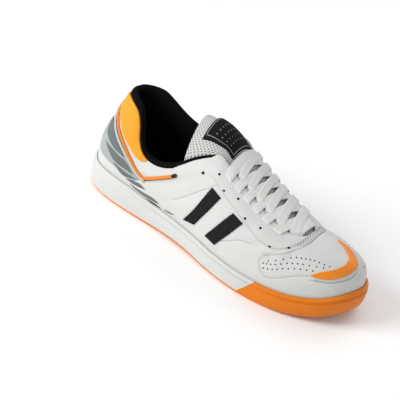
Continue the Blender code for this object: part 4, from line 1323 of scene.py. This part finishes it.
def build_label():
    """Plain woven label: a thin border round even rows of small dots."""
    low, high = LABEL_SPAN
    first, last = (TONGUE_LEG + (1 - 2 * TONGUE_LEG) * share for share in LABEL_ACROSS)

    def place(a, b, out):
        return tongue_point(low + (high - low) * a, first + (last - first) * b, out)

    work, uv = start_piece()
    plate(work, uv, 22, 26, place, 0.0, LABEL_GAP + OVERLAY, index=0)
    for a_low, a_high, b_low, b_high in LABEL_LINES:
        def line(a, b, out, box=(a_low, a_high, b_low, b_high)):
            return place(box[0] + (box[1] - box[0]) * a, box[2] + (box[3] - box[2]) * b, out)
        plate(work, uv, 10, 14, line, LABEL_GAP, LABEL_GAP + OVERLAY + PRINT / 2, edge=0.0003, index=1)

    for row in range(LABEL_DOTS[0]):
        for column in range(LABEL_DOTS[1]):
            along = 0.5 + (row - (LABEL_DOTS[0] - 1) / 2) * DOT_PITCH[0]
            across = 0.5 + (column - (LABEL_DOTS[1] - 1) / 2) * DOT_PITCH[1]

            def dot(a, b, out, along=along, across=across):
                return place(along + (a - 0.5) * DOT_SIZE[0], across + (b - 0.5) * DOT_SIZE[1], out)

            plate(work, uv, 4, 4, dot, LABEL_GAP, LABEL_GAP + OVERLAY + PRINT / 2, edge=0.0004, index=1)
    finish_piece(work, "tongue_label_cloth", (LABEL_CLOTH, GREY_PRINT), ("tongue_label",))


def instep_place(s, v, out):
    """Point over the instep: v runs from the outer eyelet (-1) over the throat to the inner one (1)."""
    if abs(v) >= THROAT_SHARE:
        side = "lateral" if v < 0 else "medial"
        t = 1 - (abs(v) - THROAT_SHARE) / (1 - THROAT_SHARE) * (1 - LACE_FOOT)
        return off_shell(side, s, t, out)
    first, last = (off_shell(side, s, 1, out) for side in SIDES)
    u = (v / THROAT_SHARE + 1) / 2
    point = first + (last - first) * u
    crown = tongue_sizes(s)[1] * MM
    point.z += (crown - LACE_SINK) * math.sin(math.pi * u)
    return point


def build_laces():
    """Crossing flat laces: each comes up through its own eyelet and goes under the other flap's edge."""
    bars = []
    for i in range(len(EYELETS) - 1):
        bars.append((EYELETS[i], EYELETS[i + 1], -LACE_TUCK, 1.0, LACE_HIGH))
        bars.append((EYELETS[i + 1], EYELETS[i], -1.0, LACE_TUCK, LACE_LOW))
    bars.append((EYELETS[0], EYELETS[0], -LACE_END, LACE_END, LACE_MIDDLE))
    bars.append((EYELETS[-1], EYELETS[-1], -1.0, LACE_TUCK, LACE_MIDDLE))
    work, uv = start_piece()
    for start, end, first, last, lift in bars:
        def place(u, w, out, start=start, end=end, first=first, last=last):
            v = first + (last - first) * u
            s = (start + end) / 2 + (end - start) / 2 * v
            into = smooth_step(abs(v), 0.93, 1.0)
            dip = LACE_DIP * into
            if abs(first) < 1 and v < 0 or last < 1 and v > 0:
                dip += LACE_UNDER * smooth_step(abs(v), THROAT_SHARE - 0.16, LACE_TUCK)
            cup = LACE_CUP * (1 - (2 * w - 1) ** 2) + LACE_FOLD * math.cos(2 * math.pi * w)
            band = LACE_BAND * (1 - LACE_TAPER * into)
            return instep_place(s + (w - 0.5) * band / PATH_LENGTH, v, out - dip + cup)
        plate(work, uv, 40, 8, place, lift, lift + LACE_THICK, edge=LACE_EDGE)
    finish_piece(work, "lace_cloth", (LACE_CLOTH,), ("laces",))


def build_throat_mesh():
    """Fine mesh between the last lace and the seam round the throat's front."""
    edges = through(THROAT_MESH)

    def place(u, v, out):
        s, reach = (float(value) for value in edges(u))
        return round_point(s, 1 + (2 * v - 1) * reach, out)

    work, uv = start_piece()
    plate(work, uv, 16, 30, place, SKIN_LOW, PRINT, edge=0.0004)
    finish_piece(work, "throat_mesh", (FINE_MESH,))


# Sole

def path_share_at(side, x):
    """Path share where the ground outline of a side reaches a length."""
    low, high = 0.0, 1.0
    for _ in range(30):
        middle = (low + high) / 2
        if CURVES[side](middle)[0] < x:
            low = middle
        else:
            high = middle
    return (low + high) / 2


@lru_cache(maxsize=None)
def rim_share(side, s):
    """Profile share where the upper passes the sole's rim."""
    rim = rim_line(ground_x(side, s))
    low, high = 0.0, 0.5
    for _ in range(20):
        middle = (low + high) / 2
        if shell_point(side, s, middle)[2] < rim:
            low = middle
        else:
            high = middle
    return (low + high) / 2


def cup_wall(side, s, share):
    """Sole's inner wall against the upper, from its rim (0) down to the footbed (1)."""
    point = off_shell(side, s, rim_share(side, s) * (1 - share), FIT_GAP)
    if share == 1:
        point[2] = footbed(ground_x(side, s))
    return point


def rim_lip(side, s, share):
    """Rounded top of the side wall, from its outer face (0) to the upper (1)."""
    outer, inner = side_point(side, s, 1), cup_wall(side, s, 0)
    point = outer + (inner - outer) * share
    point[2] = rim_line(ground_x(side, s)) + LIP_ROUND * math.sin(math.pi * share)
    return point


def base_share(x):
    return BASE_THICK / (rim_line(x) - ground_line(x))


def ground_point(side, s, inward, lift):
    x = ground_x(side, s)
    foot = outline(side, s, side_out(x, 0) - inward)
    return Vector((foot.x, foot.y, ground_line(x) + lift))


def groove(share, x, rows):
    """How far fine level grooves sink the wall at a share of its height."""
    height = rim_line(x) - ground_line(x)
    sunk = 0.0
    for place, half, depth in rows:
        sunk = max(sunk, depth * MM * max(0.0, 1 - (abs(share - place) * height / (half * MM)) ** 2))
    return sunk


def wall_point(side, s, share, rows):
    point = side_point(side, s, share)
    point.xy -= outwards(side, s) * groove(share, ground_x(side, s), rows)
    return point


def section_shares(counts):
    """Start and end of each leg of a section, as shares of its turn."""
    ends = [sum(counts[:k]) / sum(counts) for k in range(len(counts) + 1)]
    return list(zip(ends, ends[1:]))


def build_midsole():
    """White side wall from the heel to the slanted split, with its raised lip and fine grooves."""
    work, uv = start_piece()
    counts = (WALL_ROWS, LIP_ROWS, 4, 2)
    legs = section_shares(counts)
    for side in SIDES:
        ends = (path_share_at(side, SPLIT_LOW), path_share_at(side, SPLIT_HIGH))

        def section(u, v, side=side, ends=ends):
            leg = next(i for i, (a, b) in enumerate(legs) if v <= b + WELD)
            share = (v - legs[leg][0]) / (legs[leg][1] - legs[leg][0])
            base_height = base_share(SPLIT_LOW)
            height = (base_height + (1 - base_height) * share, 1.0, 1 - share, base_height)[leg]
            s = u * (ends[0] + (ends[1] - ends[0]) * height - SPLIT_GAP / PATH_LENGTH)
            x = ground_x(side, s)
            if leg == 0:
                low = base_share(x)
                return wall_point(side, s, low + (1 - low) * share, WHITE_GROOVES)
            if leg == 1:
                return rim_lip(side, s, share)
            inner = cup_wall(side, s, 0)
            base = ground_line(x) + BASE_THICK
            if leg == 2:
                return Vector((inner.x, inner.y, inner.z + (base - inner.z) * share))
            outer = wall_point(side, s, base_share(x), WHITE_GROOVES)
            return Vector((*inner.xy.lerp(outer.xy, share), base))

        patch(work, uv, WALL_STEPS, sum(counts), section)
    finish_piece(work, "midsole_wall", (WHITE_RUBBER,), ("midsole",), closed=True)


def band_sink(share):
    """How far the rim band lies over the ground, so that its ribs reach down to it."""
    return RIB_SINK * min(1.0, 4 * min(share, 1 - share))


def inner_height(share):
    """Height of the base's inner edge: its lower half is the tread's depth."""
    if share <= 0.5:
        return 2 * share * TREAD_DEPTH
    return TREAD_DEPTH + (2 * share - 1) * (BASE_THICK - TREAD_DEPTH)


def build_outsole():
    """Orange sole: forefoot wall and cup, thin base under the white wall, rim band and sunk floor."""
    work, uv = start_piece()
    front = (WALL_ROWS, LIP_ROWS, 4, 2, 2, 4)
    front_legs = section_shares(front)
    for side in SIDES:
        starts = (path_share_at(side, SPLIT_LOW), path_share_at(side, SPLIT_HIGH))

        def section(u, v, side=side, starts=starts):
            leg = next(i for i, (a, b) in enumerate(front_legs) if v <= b + WELD)
            share = (v - front_legs[leg][0]) / (front_legs[leg][1] - front_legs[leg][0])
            height = (share, 1.0, 1 - share, 0.0, 0.0, 0.0)[leg]
            start = starts[0] + (starts[1] - starts[0]) * height
            s = start + (1 - start) * u
            if leg == 0:
                return wall_point(side, s, share, ORANGE_GROOVES)
            if leg == 1:
                return rim_lip(side, s, share)
            if leg == 2:
                return cup_wall(side, s, share)
            bed, sunk = cup_wall(side, s, 1), ground_point(side, s, RIM_BAND, TREAD_DEPTH)
            if leg == 3:
                return bed + (sunk - bed) * share
            if leg == 4:
                return ground_point(side, s, RIM_BAND, TREAD_DEPTH * (1 - share))
            return ground_point(side, s, RIM_BAND * (1 - share), band_sink(share))

        patch(work, uv, WALL_STEPS, sum(front), section)

        def base(u, v, side=side, start=starts[0]):
            s = u * start
            if v <= 0.25:
                return wall_point(side, s, base_share(ground_x(side, s)) * v / 0.25, ())
            if v <= 0.5:
                outer = wall_point(side, s, base_share(ground_x(side, s)), ())
                inner = ground_point(side, s, RIM_BAND, BASE_THICK)
                return outer + (inner - outer) * (v - 0.25) / 0.25
            if v <= 0.75:
                return ground_point(side, s, RIM_BAND, inner_height((0.75 - v) / 0.25))
            return ground_point(side, s, RIM_BAND * (1 - v) / 0.25, band_sink((1 - v) / 0.25))

        patch(work, uv, WALL_STEPS, 16, base)

    def floor(u, v, out):
        first, last = (ground_point(side, u, RIM_BAND - FIT_GAP, 0.0) for side in SIDES)
        point = first + (last - first) * v
        point[2] = ground_line(point[0]) + out
        return point

    plate(work, uv, 80, 24, floor, TREAD_DEPTH, BASE_THICK, edge=0.0002)
    finish_piece(work, "outsole_rubber", (ORANGE_RUBBER,), ("outsole",), closed=True)


def lug(work, centre, radius, hole=0.0, sides=20, low=0.0):
    """Raised lug of the tread: a round block, or a ring where it has a hole, with eased edges."""
    top, ease = TREAD_DEPTH + LUG_ROOT, LUG_EASE
    profile = [(radius, top), (radius, low + ease), (radius - ease, low)]
    if hole:
        profile += [(hole + ease, low), (hole, low + ease), (hole, top), (radius, top)]
    else:
        profile = [(0.0, top)] + profile + [(0.0, low)]
    turned(work, (*centre, 0.0), profile, sides)


def bar(work, start, end, width, high=TREAD_DEPTH + LUG_ROOT):
    """Straight low block between two places of the tread."""
    along = Vector(end) - Vector(start)
    place = at_home(((start[0] + end[0]) / 2, (start[1] + end[1]) / 2, high / 2))
    turn = Matrix.Rotation(math.atan2(along.y, along.x), 4, "Z")
    size = Matrix.Diagonal((along.length, width, high, 1))
    bmesh.ops.create_cube(work, size=1.0, matrix=Matrix.Translation(place) @ turn @ size)


def spoke(work, centre, start, turn):
    """Block of the pivot: a slice of a ring between two radii."""
    home = at_home((*centre, 0.0))
    inner, outer = SPOKES[0] * MM, SPOKES[1] * MM
    corners = ((inner, 0.0), (outer, 0.0), (outer, TREAD_DEPTH), (inner, TREAD_DEPTH))
    first = Matrix.Rotation(start, 3, "Z")
    ring = [work.verts.new(home + first @ Vector((reach, 0.0, high))) for reach, high in corners]
    face = work.faces.new(ring)
    bmesh.ops.spin(work, geom=[face], cent=home, axis=(0, 0, 1), angle=turn, steps=5)


def arc_places(centre, radius, low, high, count):
    """Places on an arc about the pivot, its angle measured from the toe towards the outer side."""
    for k in range(count):
        turn = math.radians(low + (high - low) * k / (count - 1))
        yield centre[0] + radius * math.cos(turn), centre[1] - radius * math.sin(turn)


def build_lugs(work, centres):
    """Targets linked in a chain, and the studs on their arcs."""
    for name, reach, low, high, count, radius in LUG_ARCS + SMALL_STUDS:
        places = list(arc_places(centres[name], reach * MM, low, high, count))
        for place in places:
            if radius > TARGET_LEAST:
                lug(work, place, radius * MM, radius * MM * TARGET_RING, TARGET_SIDES)
                lug(work, place, radius * MM * TARGET_EYE, radius * MM * TARGET_EYE * TARGET_EYE, EYE_SIDES)
            else:
                lug(work, place, radius * MM, radius * MM * STUD_DIMPLE, STUD_SIDES)
        if radius > TARGET_LEAST:
            for start, end in zip(places, places[1:]):
                step = Vector(end) - Vector(start)
                short = step.normalized() * radius * MM * LINK_START
                bar(work, Vector(start) + short, Vector(end) - short, LINK_WIDTH)


def build_pivot(work, centre):
    """Pivot of the forefoot: a ring, a hub and spokes on a sunk plate."""
    lug(work, centre, PIVOT_RING[0] * MM, PIVOT_RING[1] * MM, DISC_SIDES)
    lug(work, centre, PIVOT_PLATE * MM, 0.0, DISC_SIDES, low=PIVOT_SUNK)
    lug(work, centre, PIVOT_HUB * MM, 0.0, HUB_SIDES)
    part = 2 * math.pi / SPOKE_COUNT
    for k in range(SPOKE_COUNT):
        spoke(work, centre, part * (k + (1 - SPOKES[2]) / 2), part * SPOKES[2])


def build_waist(work, centre):
    """Small squares and bars where the ball runs into the waist."""
    def spot(back, out):
        return centre[0] - back * MM, centre[1] - out * MM

    for back, out, size in WAIST_SQUARES:
        half = size / 2
        corners = [spot(back + a * half, out + b * half) for a, b in ((-1, -1), (1, -1), (1, 1), (-1, 1))]
        for start, end in zip(corners, corners[1:] + corners[:1]):
            bar(work, start, end, MARK_WIDTH)
    for row in WAIST_BARS:
        bar(work, spot(*row[:2]), spot(*row[2:]), MARK_WIDTH)


def build_ribs(work):
    """Fine ribs across the rim band, in short runs."""
    count = round(PATH_LENGTH / RIB_PITCH)
    for side in SIDES:
        for k in range(count):
            if k % RIB_GROUP:
                share = (k + 0.5) / count
                outer, inner = (ground_point(side, share, inward, 0.0) for inward in RIB_SPAN)
                bar(work, outer.xy, inner.xy, RIB_WIDTH, 2 * RIB_SINK)


def build_tread():
    """Lugs of the tread, laid on the sole's ground line."""
    work, _ = start_piece()
    centres = {name: (x * LENGTH, y * HALF_BALL) for name, (x, y) in CENTRES.items()}
    for name, radius, hole in DISCS:
        lug(work, centres[name], radius * MM, hole * MM, DISC_SIDES)
    build_pivot(work, centres["ball"])
    build_lugs(work, centres)
    build_waist(work, centres["ball"])
    build_ribs(work)
    for vert in work.verts:
        vert.co.z += ground_line(vert.co.x + HOME.x)
    finish_piece(work, "tread_lugs", (ORANGE_RUBBER,))


def light(name, place, size, power):
    data = bpy.data.lights.new(name, "AREA")
    data.size = size
    data.energy = power
    lamp = bpy.data.objects.new(name, data)
    bpy.context.scene.collection.objects.link(lamp)
    home = Vector(place)
    turn = (home - Vector((0, 0, 0.04))).to_track_quat("Z", "Y").to_matrix().to_4x4()
    lamp.matrix_world = Matrix.Translation(home) @ turn


def set_stage():
    """Plain pale floor and soft studio light."""
    work = bmesh.new()
    bmesh.ops.create_grid(work, x_segments=1, y_segments=1, size=FLOOR_HALF)
    mesh = bpy.data.meshes.new("floor")
    work.to_mesh(mesh)
    work.free()
    floor = bpy.data.objects.new("floor", mesh)
    material = bpy.data.materials.new("pale_floor")
    material.use_nodes = True
    shader = material.node_tree.nodes["Principled BSDF"]
    shader.inputs["Base Color"].default_value = (0.95, 0.95, 0.95, 1)
    shader.inputs["Roughness"].default_value = 0.6
    mesh.materials.append(material)
    bpy.context.scene.collection.objects.link(floor)
    for name, place, size, power in LIGHTS:
        light(name, place, size, power)
    world = bpy.data.worlds.new("studio")
    world.use_nodes = True
    sky = world.node_tree.nodes["Background"]
    sky.inputs["Color"].default_value = (1, 1, 1, 1)
    sky.inputs["Strength"].default_value = SKY
    bpy.context.scene.world = world
    bpy.context.scene.view_settings.view_transform = "Standard"


def dress_insole():
    """Black cloth for the insole that its solid already shapes."""
    node = bpy.data.objects["insole"]
    for slot in node.material_slots:
        slot.material = BLACK_LINING


build_upper()
build_seams()
build_holes()
build_toe_ticks()
build_throat_mesh()
build_panels()
build_piping()
build_blades()
build_bands()
build_tongue()
build_label()
build_laces()
build_midsole()
build_outsole()
build_tread()
dress_insole()
set_stage()
